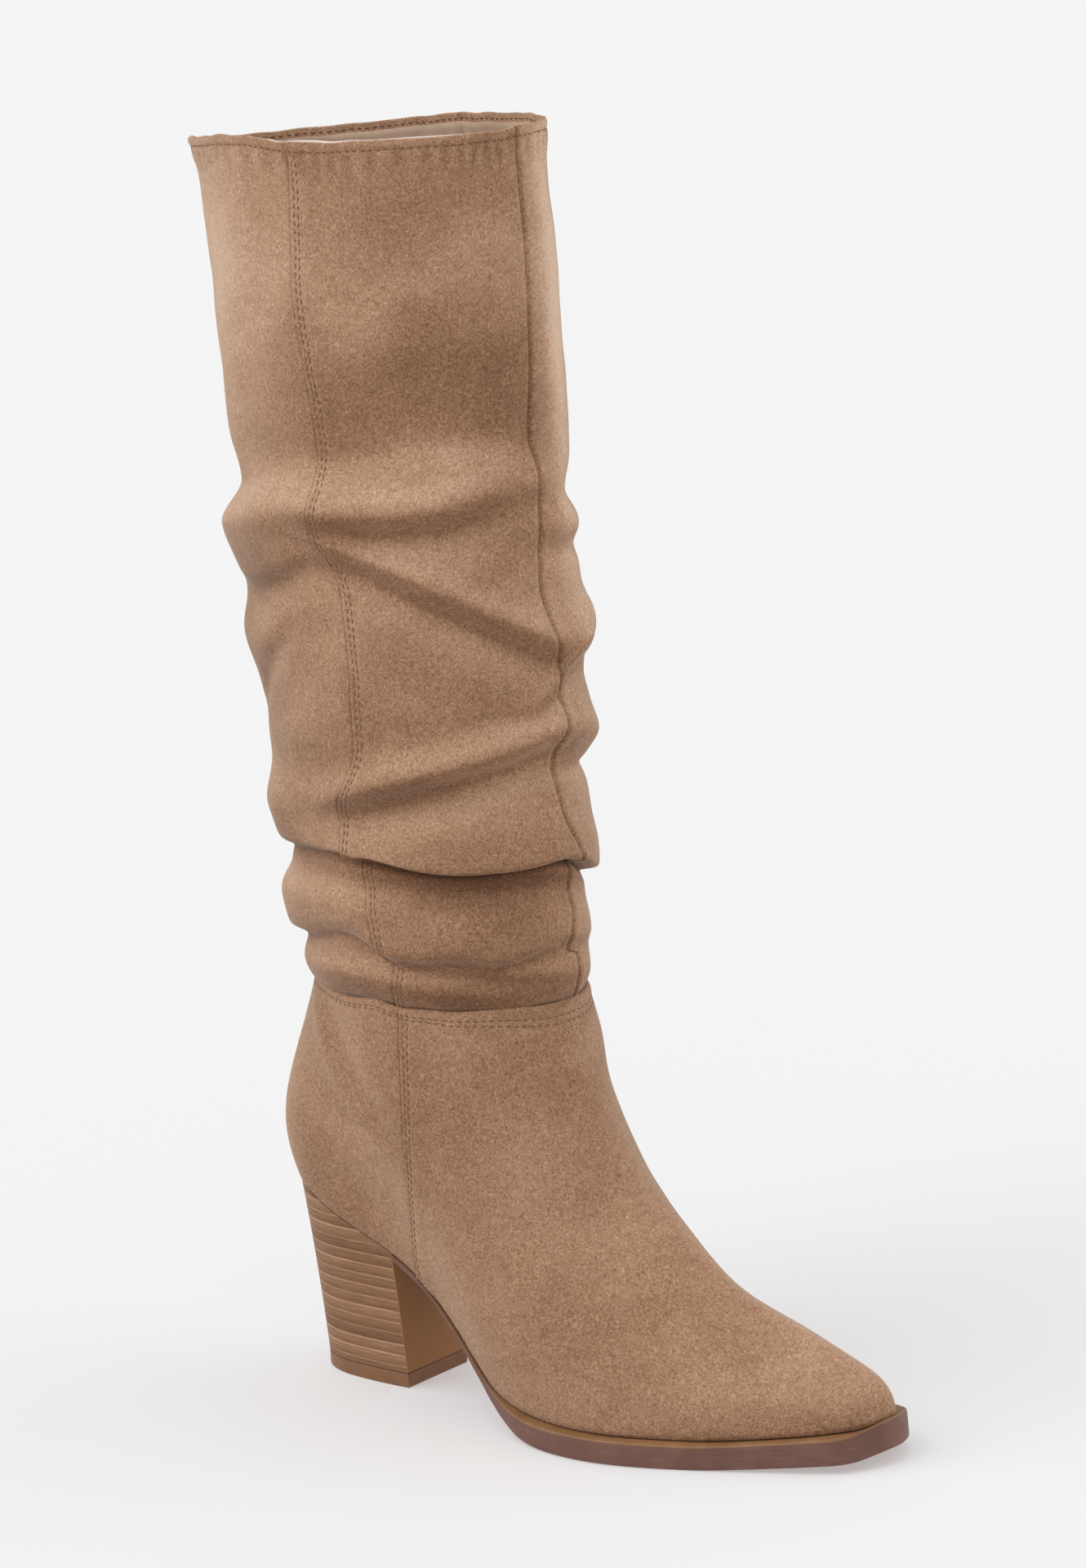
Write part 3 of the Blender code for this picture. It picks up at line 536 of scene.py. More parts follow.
# Rolls whose lower edge hangs over the cloth below. path: turn, height of the lip, how far the roll
# stands out there and how far it hangs down, all in millimetres. above and round: how high the roll
# is above and below its crest, in millimetres. under: how far the cloth below it is drawn in, as a
# share of the hang, which also sets how dark the painted shade under the lip is.
LIPS = (
    {"above": 12.0, "round": 2.4, "under": 1.0,
     "path": ((.00, 206, 1.5, 2.0), (.095, 206, 1.4, 2.0), (.16, 208, 1.2, 2.2),
              (.211, 209.5, 1.6, 3.0), (.28, 210.0, 3.6, 5.0), (.33, 209.5, 5.0, 6.2),
              (.39, 210.0, 5.4, 6.6), (.45, 211.0, 4.6, 5.8), (.50, 209.0, 2.6, 4.6),
              (.562, 201.0, 2.4, 4.0), (.62, 200.0, 2.4, 4.0), (.70, 206, 2.5, 3.6),
              (.78, 209, 2.6, 4.0), (.87, 210, 2.0, 3.6), (.94, 208, 1.6, 2.6))},
    {"above": 10.0, "round": 4.6, "under": 0.60,
     "path": ((.00, 172, 3.4, 2.0), (.098, 174, 4.4, 2.0), (.17, 178, 3.2, 1.8),
              (.239, 180.5, 2.4, 1.4), (.262, 176, 2.6, 1.3), (.348, 174.5, 3.0, 1.3),
              (.383, 173, 3.0, 1.2), (.44, 176, 2.4, 1.0), (.481, 178, 1.6, 0.9),
              (.554, 175, .6, 0.8), (.62, 173, .6, 0.8), (.70, 172, 2.0, 1.4),
              (.80, 171, 3.0, 2.2), (.90, 171, 3.2, 2.2))},
)


def crest(x, wide):
    """Ridge of height 1 that is sharper than a bell curve and falls off slowly, as in pinched cloth: e
    to the minus of a rounded absolute value of x over three quarters of wide."""
    return np.exp(0.35 - np.sqrt((x / (0.75 * wide)) ** 2 + 0.1225))


# Ridges and troughs: name, millimetres out (or in where negative), reach above and below its line in
# millimetres, shape across it, and its path by turn, height in millimetres and strength
CREASES = (
    ("left calf bulge", 7.8, 8.5, 18.5, bell,
     ((-.16, 310.5, .25), (-.08, 312.5, .60), (.02, 316.5, .95), (.09, 318.5, 1.0),
      (.14, 321.5, .75), (.19, 325, .50), (.23, 328.5, .20))),
    ("light band", 4.6, 8.0, 6.0, bell,
     ((.205, 331, .30), (.235, 331, .80), (.27, 331, 1.0), (.32, 331.5, 1.0), (.37, 334, .95),
      (.41, 337, .70), (.45, 340, .30))),
    ("hollow under the band", -2.2, 5.0, 8.0, bell,
     ((.27, 322, .50), (.32, 321, 1.0), (.37, 322, 1.0), (.42, 325, .80), (.47, 326, .30))),
    ("hollow above the band", -3.4, 24.0, 8.0, bell,
     ((.20, 349, .30), (.25, 350, .70), (.30, 352, .95), (.37, 357, 1.0), (.43, 357, .80),
      (.49, 350, .35))),
    ("hollow above the left bulge", -2.7, 14.0, 6.0, bell,
     ((-.20, 336, .60), (-.06, 335, .90), (.05, 333, 1.0), (.10, 334, 1.0), (.15, 338, .80),
      (.20, 343, .40))),
    ("hollow above the front shelf", -2.6, 9.0, 6.0, bell,
     ((.51, 334, .30), (.55, 332, .80), (.59, 331, 1.0), (.68, 332, .70), (.76, 338, .40))),
    ("diagonal roll", 3.6, 9.0, 4.5, crest,
     ((.215, 323, .30), (.25, 320.5, .65), (.295, 315, .80), (.345, 307.5, .90), (.40, 298, 1.0),
      (.45, 289.5, .90), (.49, 283, .50))),
    ("diagonal crease", -3.2, 4.0, 9.0, bell,
     ((.02, 300, .00), (.06, 298, .10), (.123, 296, .70), (.19, 303, 1.0), (.236, 309.5, .75),
      (.264, 309, .55), (.332, 299.5, .80), (.394, 289, 1.0), (.46, 278, .80), (.51, 272, .35))),
    ("front shelf", 1.6, 7.0, 5.0, bell,
     ((.46, 324, .20), (.50, 322, .60), (.56, 320, .90), (.63, 322, .80), (.72, 326, .40))),
    ("front pinch", -1.8, 5.0, 5.0, bell,
     ((.46, 317, .20), (.51, 315, .60), (.57, 313, 1.0), (.64, 314, .70), (.72, 316, .20))),
    ("low calf bulge", 3.5, 13.0, 13.0, bell,
     ((-.20, 280, .40), (-.08, 282, .80), (.02, 281, 1.0), (.09, 280, 1.0), (.15, 282, .70),
      (.20, 286, .35), (.25, 289, .05))),
    ("left slant", -1.8, 5.0, 6.0, bell,
     ((.09, 252, .40), (.12, 262, .90), (.15, 271, 1.0), (.18, 279, .80), (.21, 287, .30))),
    ("front bulge", 4.6, 11.0, 11.0, bell,
     ((.46, 285, .20), (.50, 285, .55), (.54, 284, .95), (.59, 283, 1.0), (.66, 287, .70),
      (.74, 290, .40), (.80, 290, .20))),
    ("rising fold", 2.6, 5.0, 4.0, crest,
     ((.45, 263, .20), (.48, 269, .75), (.515, 278, 1.0), (.55, 286, .80), (.60, 294, .30))),
    ("rising crease", -2.8, 3.5, 5.0, crest,
     ((.455, 258, .30), (.49, 263, .90), (.53, 269, 1.0), (.57, 273, .70), (.62, 276, .30))),
    ("front dip", -1.0, 6.0, 6.0, bell,
     ((.52, 267, .30), (.56, 267, .90), (.62, 267, .90), (.70, 268, .50), (.80, 266, .30))),
    ("right knuckle", 3.0, 7.0, 5.5, bell,
     ((.44, 251, .10), (.48, 252, .55), (.53, 250, .85), (.59, 247, 1.0), (.66, 246, .80),
      (.74, 250, .50), (.84, 252, .30))),
    ("right pinch", -4.4, 4.2, 7.0, crest,
     ((.46, 238, .20), (.51, 237, .70), (.56, 236, 1.0), (.62, 235, 1.0), (.70, 236, .60),
      (.80, 236, .30))),
    ("long light ridge", 4.2, 7.5, 4.5, bell,
     ((.20, 226, .15), (.235, 229.5, .55), (.28, 234.5, .90), (.356, 243, 1.0), (.42, 249, .95),
      (.47, 253, .60), (.51, 255, .15))),
    ("hollow under it", -3.2, 5.0, 6.5, bell,
     ((.20, 218, .20), (.25, 221, .70), (.30, 226, 1.0), (.361, 233, 1.0), (.42, 239, 1.0),
      (.476, 243, .80), (.52, 242, .40))),
    ("back hollow", 0.8, 8.0, 7.0, bell,
     ((-.24, 240, .60), (-.10, 238, .90), (.0, 240, 1.0), (.09, 242, .90), (.16, 246, .50),
      (.22, 252, .10))),
    ("left knuckle", 4.8, 12.0, 9.5, bell,
     ((-.16, 221, .30), (-.08, 221, .70), (.0, 220, 1.0), (.07, 219, 1.0), (.12, 219.5, .90),
      (.17, 222, .50), (.22, 225, .15))),
    ("neck under the roll", -3.2, 5.5, 6.5, bell,
     ((-.30, 197, .60), (-.10, 198, .35), (.0, 198, .40), (.10, 198, .45), (.20, 199, .50),
      (.28, 197, .60), (.36, 197, .65), (.46, 197, .70), (.56, 193, .60), (.63, 192, .60))),
    ("ankle roll", 3.4, 7.0, 8.0, bell,
     ((-.30, 186, .50), (-.10, 185, .80), (.0, 186, 1.0), (.09, 187, 1.1), (.16, 189, .80),
      (.22, 191, .60), (.30, 189, .70), (.38, 188, .75), (.46, 190, .50), (.56, 187, -.20),
      (.63, 186, -.50))),
    ("edge roll", 3.6, 6.0, 10.0, bell,
     ((-.30, 160, .60), (-.10, 160, .90), (.0, 160, 1.0), (.09, 160, 1.0), (.16, 161, .90),
      (.24, 163, .70), (.32, 160, .55), (.40, 160, .55), (.48, 162, .50), (.56, 160, .50),
      (.63, 158, .60))),
    ("edge furrow", -1.6, 3.0, 4.0, bell,
     ((.27, 167, .10), (.33, 166.5, .80), (.40, 164, 1.0), (.46, 162.5, .80), (.52, 162, .20))),
    ("upper sweep", 1.6, 14.0, 12.0, bell,
     ((.22, 378, .10), (.28, 384, .70), (.35, 391, 1.0), (.43, 397, .80), (.48, 400, .30))),
    ("upper shade", -1.2, 14.0, 14.0, bell,
     ((.24, 412, .30), (.32, 418, .80), (.40, 423, 1.0), (.46, 426, .50))),
    ("upper back swell", 1.3, 16.0, 18.0, bell,
     ((-.16, 392, .50), (-.04, 390, .90), (.06, 388, 1.0), (.13, 386, .70), (.20, 384, .20))),
)


def off_turn(turn, place):
    """How far a turn is from a place, the shorter way round."""
    return (turn - place + 0.5) % 1.0 - 0.5


def follow(path, turn):
    """The values of a path at each turn, the height first: cubic through its points, where the values
    after the height fade past the two ends as a bell curve. A path that goes all round is closed."""
    turns, heights, *strengths = (np.array(v, float) for v in zip(*path))
    if turns[-1] - turns[0] > 0.85:
        return [closed_curve(turns, v, turn) for v in (heights, *strengths)]
    middle = (turns[0] + turns[-1]) / 2
    place = off_turn(turn, middle) + middle
    fade = bell(np.maximum(np.maximum(turns[0] - place, place - turns[-1]), 0.0), 0.05)
    return [open_curve(turns, heights, place),
            *(open_curve(turns, v, place) * fade for v in strengths)]


def shaft_surface(turn, height):
    """Outside of the shaft: an oval tube that leans back, plus each crease as a two-sided ridge
    outwards, each lip as a roll pushed out and let down over what is below, and a flare at the rear
    corner of the rim. height is in millimetres above the floor."""
    h = (height / 1000 - EDGE_HEIGHT) / SHAFT_RISE
    length_share, width_share, lean_share = (
        open_curve(SHAFT_HEIGHT, v, h) for v in (SHAFT_LENGTH, SHAFT_WIDTH, SHAFT_LEAN))
    half_length = (ANKLE_LENGTH + (RIM_LENGTH - ANKLE_LENGTH) * length_share) / 2
    half_width = (ANKLE_WIDTH + (RIM_WIDTH - ANKLE_WIDTH) * width_share) / 2
    out = np.zeros_like(turn)
    down = np.zeros_like(turn)
    for name, stand, above, below, shape, path in CREASES:
        line, strength = follow(path, turn)
        away = height - line
        out += stand * strength * shape(away, np.where(away > 0, above, below))
    for lip in LIPS:
        line, stand, hang = follow(lip["path"], turn)
        away = height - line
        out += stand * bell(away - 2.5, np.where(away > 2.5, lip["above"], lip["round"]))
        out -= lip["under"] * hang * bell(away + 3.0, 3.2)
        down += hang * bell(away - 3.0, 4.6)
    out += 2.6 * bell(off_turn(turn, 0.09), 0.05) * bell(height - 457.0, 9.0)
    fade = ease((height - 146.0) / 9.0)
    out = out * fade
    down = down * fade
    angle = 2 * np.pi * turn
    middle = ANKLE_MIDDLE - RIM_LEAN * lean_share
    return np.stack([middle - (half_length + out / 1000) * np.cos(angle),
                     -(half_width + out / 1000) * np.sin(angle), (height - down) / 1000], -1)


shaft_columns = crowded_turns(330, ((OUTER, 3.6, 0.014), (FRONT, 2.2, 0.010), (INNER, 3.6, 0.014)))
shaft_rows = spaced((SHAFT_FOOT, 154.0, 8), (154.0, 222.0, 92), (222.0, 350.0, 88),
                    (350.0, 448.0, 42), (448.0, SHAFT_TOP, 16))
shaft_even, shaft_height = np.meshgrid(shaft_columns, shaft_rows)
shaft_turn = seam_turns(shaft_even, shaft_height, SEAM_HEIGHT, OUTER_SEAM, FRONT_SEAM)
shaft_base = shaft_surface(shaft_turn, shaft_height)
rim_wave = closed_curve(RIM_TURN, RIM_RISE, shaft_turn)
shaft_base[..., 2] += rim_wave / 1000 * ease((shaft_height - 380.0) / 75.0)
shaft_base[..., 2] += 0.00028 * ripple(shaft_base, 33, 0.012) * ease((shaft_height - 448.0) / 6.0)
shaft_out = normals(shaft_base)
outer_column = column_at(shaft_columns, OUTER)
shaft_seams = (run_from(shaft_base, outer_column),
               -run_from(shaft_base, column_at(shaft_columns, INNER)))
from_front = run_from(shaft_base, column_at(shaft_columns, FRONT))
from_rim = SHAFT_TOP - shaft_height

shaft_relief = sum(lapped_seam(ahead) * 0.9 for ahead in shaft_seams)
shaft_relief += -0.85 * bell(from_front, 0.75) + 0.28 * bell(np.abs(from_front) - 2.2, 1.4)
shaft_relief += 0.55 * ripple(shaft_base, 31, 0.055) + 0.16 * ripple(shaft_base, 32, 0.020)
shaft_relief += -0.32 * bell(from_rim - RIM_STITCHES, 0.55) + 0.22 * bell(from_rim - 1.2, 0.9)
gathers = np.sin(2 * np.pi * shaft_turn * 55 + 3 * np.sin(2 * np.pi * shaft_turn * 7))
shaft_relief += 0.45 * gathers * bell(from_rim - GATHERS, 3.6)
shaft_relief *= ease((shaft_height - SHAFT_FOOT) / 8.0)
shaft_outside = shaft_base + shaft_out * shaft_relief[..., None] / 1000
outward = (shaft_outside - np.array([ANKLE_MIDDLE, 0.0, 0.0])) * np.array([1.0, 1.0, 0.0])
outward /= np.linalg.norm(outward, axis=2, keepdims=True)
tuck = ease((TUCK_TOP - shaft_height) / 4.0)[..., None]
shaft_outside = shaft_outside - outward * tuck * 0.0008

# The inside keeps to the least distance from the axis found within 10 rows above and below, so that
# no fold cuts through it
axis = shaft_outside.mean(axis=1, keepdims=True)
radius = np.linalg.norm((shaft_outside - axis)[..., :2], axis=2)
row_index = np.arange(len(shaft_rows))[:, None]
near_rows = np.clip(row_index + np.arange(-10, 11)[None, :], 0, len(shaft_rows) - 1)
spare = (radius - radius[near_rows].min(axis=1)) * ease((450.0 - shaft_height) / 8.0)
inside_rows = np.linspace(len(shaft_rows) - 1, 0, 34).astype(int)
shaft_inside = (shaft_outside - outward * (CLOTH + spare)[..., None])[inside_rows]
shaft_inside[0, :, 2] = shaft_outside[-1, :, 2]
shaft_inside[-1, :, 2] = shaft_outside[0, :, 2]
shaft_lip = rolled_lip(shaft_outside[-1], shaft_inside[0], 0.0004)
shaft_grid = np.concatenate([shaft_outside, shaft_lip, shaft_inside])

# Patches of painted light and shade, and where the nap is brushed lighter or darker: painted shade
# under the two rolls and along the edge roll, painted shade in the front panel's hollows, and painted
# light where the lamps fall on the shaft's outer back and inner front. Columns: turn and height in
# millimetres, the reach of each, and strength
NAP_PATCHES_AND_PAINTED_LIGHT = (
    (0.43, 400, 0.06, 7, -0.10), (0.43, 385, 0.07, 10, -0.12), (0.41, 365, 0.08, 12, -0.17),
    (0.30, 400, 0.035, 40, 0.06), (0.45, 424, 0.04, 10, 0.10), (0.33, 336, 0.06, 6, 0.02),
    (0.36, 448, 0.10, 5, -0.05), (0.13, 410, 0.085, 60, 0.34), (0.545, 395, 0.035, 75, 0.58),
    (0.36, 245, 0.10, 9, 0.03), (0.38, 270, 0.10, 20, -0.11), (0.17, 300, 0.04, 9, -0.12),
    (0.13, 255, 0.05, 16, -0.06), (0.09, 287, 0.03, 10, -0.14), (0.115, 272, 0.022, 8, -0.14),
    (0.38, 203, 0.11, 5, -0.40), (0.38, 193, 0.12, 7, -0.40), (0.36, 216, 0.09, 6, -0.06),
    (0.20, 199, 0.06, 6, -0.12), (0.36, 176, 0.13, 5, -0.12), (0.38, 161, 0.14, 6, -0.26),
    (0.20, 163, 0.06, 6, -0.05))

shaft_tone_and_painted_light = 0.04 * ripple(shaft_base, 41, 0.045)
# Painted light from above: faces that look up are lighter, those that look down darker.
shaft_tone_and_painted_light += 0.50 * np.clip(shaft_out[..., 2], -0.5, 0.5)
# Brushed nap patches together with painted light and shade, from the table above.
shaft_tone_and_painted_light += sum(
    strength * bell(off_turn(shaft_turn, turn), wide) * bell(shaft_height - height, tall)
    for turn, height, wide, tall, strength in NAP_PATCHES_AND_PAINTED_LIGHT)
# Painted highlight on each side seam's bead and painted shade in its step.
shaft_tone_and_painted_light += sum(seam_shade(ahead) for ahead in shaft_seams)
# Painted shade in the groove of the front seam.
shaft_tone_and_painted_light -= 0.22 * bell(from_front, 0.8)
# Painted shade under each roll's lip, and a painted highlight along the roll's lower edge.
for lip in LIPS:
    line, stand, hang = follow(lip["path"], shaft_turn)
    shaft_tone_and_painted_light -= 0.10 * hang * lip["under"] * bell(shaft_height - line + 4.2, 3.2)
    shaft_tone_and_painted_light += 0.025 * stand * bell(shaft_height - line - 1.0, 1.5)
# Painted light and shade across the gathers below the rim, and painted shade along the rim's stitch
# row.
shaft_tone_and_painted_light += 0.07 * gathers * bell(from_rim - GATHERS, 4.0)
shaft_tone_and_painted_light -= 0.06 * bell(from_rim - RIM_STITCHES, 0.7)
hem_rows = len(shaft_grid) - len(shaft_rows)
shaft_tone_and_painted_light = np.concatenate([shaft_tone_and_painted_light, np.full((hem_rows, len(shaft_columns)), 0.15)])
shaft = skin("slouch_shaft", shaft_grid, suede, ring=True, marks={"tone": shaft_tone_and_painted_light})
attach(shaft, "root")
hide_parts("shaft")

# Shaft lining: a thin woven tube that hangs just inside the suede, caught in the rim's stitching. On
# the far side it ends below the suede's hem, and on the near side its pale cut edge shows over the rim.

LINING = 0.0008

lining_rows = np.linspace(len(shaft_rows) - 1, 6, 70).astype(int)[::-1]
lining_pick = np.unique(np.concatenate([np.arange(0, len(shaft_columns), 2), [outer_column]]))
lining_set = (0.0011 + 0.0012 * ease((452.0 - shaft_height) / 14.0) + spare)[..., None]
lining_face, lining_back = (
    (shaft_outside - outward * (lining_set + thick))[lining_rows][:, lining_pick]
    for thick in (0.0, LINING))
lining_turn = shaft_turn[-1, lining_pick]
far_side = ease((np.cos(2 * np.pi * (lining_turn - 0.80)) + 0.35) / 0.6)
near_edge = 0.9 * bell(lining_turn - 0.285, 0.045) + 0.7 * bell(lining_turn - 0.385, 0.045)
hem_drop = 2.7 * far_side + 0.3 - near_edge
hem_drop = hem_drop[None, :] * ease((shaft_rows[lining_rows, None] - 441.0) / 14.0) / 1000
lining_face[..., 2] -= hem_drop
lining_back[..., 2] -= hem_drop
lining_back[-1, :, 2] = lining_face[-1, :, 2]
lining_grid = np.concatenate([lining_face, lining_back[::-1]])
edge = slice(len(lining_face) - 1, len(lining_face) + 1)
lining_grid[edge, :, 2] += 0.0004
lining_cut = np.zeros(lining_grid.shape[:2])
lining_cut[edge] = 1.0 - far_side
shaft_lining = skin("shaft_lining", lining_grid, lining, ring=True, marks={"cut": lining_cut})
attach(shaft_lining, "root")

# Outsole: one moulded piece of brown rubber from the heel breast to the toe, cemented to the lasted
# foot part. Its flat ledge runs round the forefoot and fades out up the waist, and a caramel welt strip
# lies on top of it.

BREAST = 0.0260
LEDGE = 0.0042
WAIST_LEDGE = 0.0006
ARCH_THICK = (0.220, 0.220, 0.220, 0.220, 0.220, 0.220, 0.260, 0.380, 0.520,
              0.700, 0.920, 1.000, 1.000, 0.990, 0.980, 0.970, 0.960)
TREAD_START = 0.559      # share of FOOT_LENGTH
TOE_FLATTER = 0.76       # what is left of the toe's rise underneath
TIP_REACH = 0.014        # length of the tip, where the columns crowd and the outline is set back
TIP_ROUND = 0.012
# Section of the sole, as shares: -1 to 1 from the outer to the inner edge, 0 to 1 from bottom to top,
# how far in millimetres it is set back from the edge, and 1 where the caramel ledge is
HALF_SECTION = np.array((
    (0.00, 0.000, 0.00, 0), (0.60, 0.000, 0.00, 0), (1.00, 0.000, 1.20, 0), (1.00, 0.050, 0.35, 0),
    (1.00, 0.120, 0.05, 0), (1.00, 0.450, 0.00, 0), (1.00, 0.800, 0.00, 0), (1.00, 0.920, 0.04, 0),
    (1.00, 0.945, 0.10, 1), (1.00, 0.975, 0.22, 1), (1.00, 1.000, 0.75, 1), (0.80, 1.000, 0.00, 1),
    (0.00, 1.000, 0.00, 1)))


def sole_bottom(x):
    """Height of the sole's underside: the upper face less its thickness, and zero along the tread."""
    along = (x - SEAT_BACK) / FOOT_LENGTH
    under = np.maximum(sole_top(x) - TREAD * open_curve(ARCH_ALONG, ARCH_THICK, along), 0.0)
    under = np.where(along > TREAD_END, TOE_FLATTER * under, under)
    return np.where((along >= TREAD_START) & (along <= TREAD_END), 0.0, under)


def sole_sides(grow):
    """The feather line grown outwards by grow, cut at back and tip into its outer and inner side."""
    line, away = feather_line(np.arange(4000) / 4000)
    line = line + grow * away
    line = np.roll(line, -int(np.argmin(line[:, 0])), 0)
    tip = int(np.argmax(line[:, 0]))
    return line[:tip + 1], np.concatenate([line[tip:], line[:1]])[::-1]


def sole_material(name):
    """Moulded rubber: even mauve brown with faint drawn streaks along the side, and the caramel ledge
    where the mark ledge is 1."""
    material, nodes, shader = new_material(name)
    streak = noise(nodes, own_place(nodes, Scale=(0.12, 0.12, 1.0)), 900.0, 3.0, 0.6)
    grain = weigh(nodes, streak, 0.5, noise(nodes, own_place(nodes), 60.0, 4.0, 0.55))
    side = ramp(nodes, grain, ((0.45, (0.125, 0.054, 0.038)), (0.75, (0.165, 0.074, 0.052)),
                               (0.98, (0.205, 0.098, 0.070))))
    ledge = ramp(nodes, grain, ((0.45, (0.190, 0.090, 0.036)), (0.75, (0.250, 0.124, 0.052)),
                                (0.98, (0.310, 0.165, 0.076))))
    fill(shader, {"Base Color": blend(nodes, own_mark(nodes, "ledge"), side, ledge),
                  "Roughness": 0.50, "Specular IOR Level": 0.40,
                  "Normal": bumped(nodes, grain, 0.25, 0.0002)})
    return material


outer_side, inner_side = sole_sides(LEDGE)
sole_tip = outer_side[-1, 0]
bend = np.linspace(0.0, np.pi / 2 - 0.07, 40)
sole_x = np.concatenate([np.linspace(BREAST + 0.0003, sole_tip - TIP_REACH, 190)[:-1],
                         sole_tip - TIP_REACH + TIP_REACH * np.sin(bend)])
sole_along = (sole_x - SEAT_BACK) / FOOT_LENGTH
narrow = (LEDGE - WAIST_LEDGE) * (1 - ease((sole_along - 0.405) / 0.125))
tip_share = np.clip((sole_x - (sole_tip - TIP_ROUND)) / TIP_ROUND, 0.0, 1.0)
blunt = 0.0026 * bell(sole_x - (sole_tip - 0.006), 0.013) * (1.0 - tip_share ** 2) ** 0.7
outer_y = np.interp(sole_x, outer_side[:, 0], outer_side[:, 1]) + narrow - blunt
inner_y = np.interp(sole_x, inner_side[:, 0], inner_side[:, 1]) - narrow + blunt
section = np.concatenate([HALF_SECTION, HALF_SECTION[::-1][1:-1] * np.array([-1, 1, 1, 1])])
across, climb, inset, on_ledge = (column[None, :] for column in section.T)
half_y = (inner_y - outer_y)[:, None] / 2
sole_y = (outer_y + inner_y)[:, None] / 2 + half_y * across
sole_y -= np.sign(across) * np.minimum(inset / 1000, 0.4 * half_y + 1e-6)
bottom_z = sole_bottom(sole_x)[:, None]
sole_z = bottom_z + (sole_top(sole_x)[:, None] - bottom_z) * climb
set_back = (0.0014 + 0.0012 * climb) * ease((sole_x - sole_tip + TIP_REACH) / TIP_REACH)[:, None]
sole_grid = np.stack([sole_x[:, None] - set_back, sole_y, sole_z], -1)
sole_ring = np.arange(len(section))
# The tip is closed in level strips, so that the ledge's colour stays on the ledge
last = len(section) - 1
half = last // 2
tip_strips = ((0, 1, last), *((i, i + 1, last - i, last - i + 1) for i in range(1, half)),
              (half, half + 1, half + 2))
tip_faces = [np.array(strip) + (len(sole_x) - 1) * len(section) for strip in tip_strips]
sole = skin("outsole_unit", sole_grid, sole_material("brown_sole_rubber"),
            marks={"ledge": np.broadcast_to(on_ledge, sole_y.shape)},
            caps=(sole_ring[::-1], *tip_faces))
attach(sole, "root")
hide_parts("outsole")

# Stacked heel: a moulded block wrapped in thin layers of leather board, sanded flush and stained.
# Each joint shows as a fine line: a painted highlight along the top of each layer and painted shade
# under it, over each layer's own stained brown. Its breast is one smooth plain face. It is screwed to
# the seat from inside.

HEEL_TIP_LENGTH = 0.0472
HEEL_TIP_WIDTH = 0.0350
HEEL_FRONT_WIDTH = 0.0322
HEEL_SQUARE = 0.80       # power of the sine that rounds its back: 1 is an ellipse, less is squarer
HEEL_HOLLOW = 0.18
LIFT = 0.0055
LAYER = 0.0044
BREAST_POINTS = 12


def heel_outline(points):
    """Half of the heel tip seen from above, from the middle of its back to the breast's corner: a
    squarish quarter ellipse, then a side that draws in with the square of its run."""
    side_start = HEEL_TIP_LENGTH * 0.04
    angle = np.linspace(0.0, np.pi / 2, points)
    x = side_start - (side_start + HEEL_TIP_LENGTH / 2) * np.cos(angle) ** HEEL_SQUARE
    y = HEEL_TIP_WIDTH / 2 * np.sin(angle) ** HEEL_SQUARE
    run = np.linspace(0.0, 1.0, points // 2)[1:]
    x_side = side_start + (HEEL_TIP_LENGTH / 2 - side_start) * run
    y_side = HEEL_TIP_WIDTH / 2 + (HEEL_FRONT_WIDTH - HEEL_TIP_WIDTH) / 2 * run ** 2
    return np.append(x, x_side), np.append(y, y_side)


def heel_loop(x, outer_y, inner_y):
    """Closed outline of the heel: along its outer side, straight across the breast, and back along its
    inner side."""
    across = np.linspace(-1.0, 1.0, BREAST_POINTS)[1:-1]
    middle, half = (outer_y[-1] + inner_y[-1]) / 2, (inner_y[-1] - outer_y[-1]) / 2
    return np.concatenate([np.stack([x, outer_y], -1),
                           np.stack([np.full_like(across, x[-1]), middle + across * half], -1),
                           np.stack([x, inner_y], -1)[:0:-1]])


def heel_grid(heights):
    """The heel's sides, as rows from the tip to the seat, and 1 where the breast is: each point of the
    tip's outline goes to the seat's outline in a line that hollows in a little."""
    tip_x, tip_y = heel_outline(64)
    outer, inner = sole_sides(0.0)
    seat_x = SEAT_BACK + (BREAST - SEAT_BACK) * (tip_x - tip_x[0]) / HEEL_TIP_LENGTH
    seat_outer = np.interp(seat_x, outer[:, 0], outer[:, 1])
    seat_inner = np.interp(seat_x, inner[:, 0], inner[:, 1])
    seat_outer[0] = seat_inner[0] = 0.0
    tip = heel_loop(tip_x, -tip_y, tip_y)
    seat = heel_loop(seat_x, seat_outer, seat_inner)
    climb = heights[:, None]
    place = tip + (seat - tip) * (climb + HEEL_HOLLOW * climb * (climb - 1.0))[..., None]
    low = LIFT + 0.0003
    z = low + (sole_top(seat[:, 0]) + 0.0004 - low) * climb
    breast = np.zeros(len(tip))
    breast[len(tip_x) - 1:len(tip_x) + BREAST_POINTS - 1] = 1.0
    return np.concatenate([place, z[..., None]], -1), breast


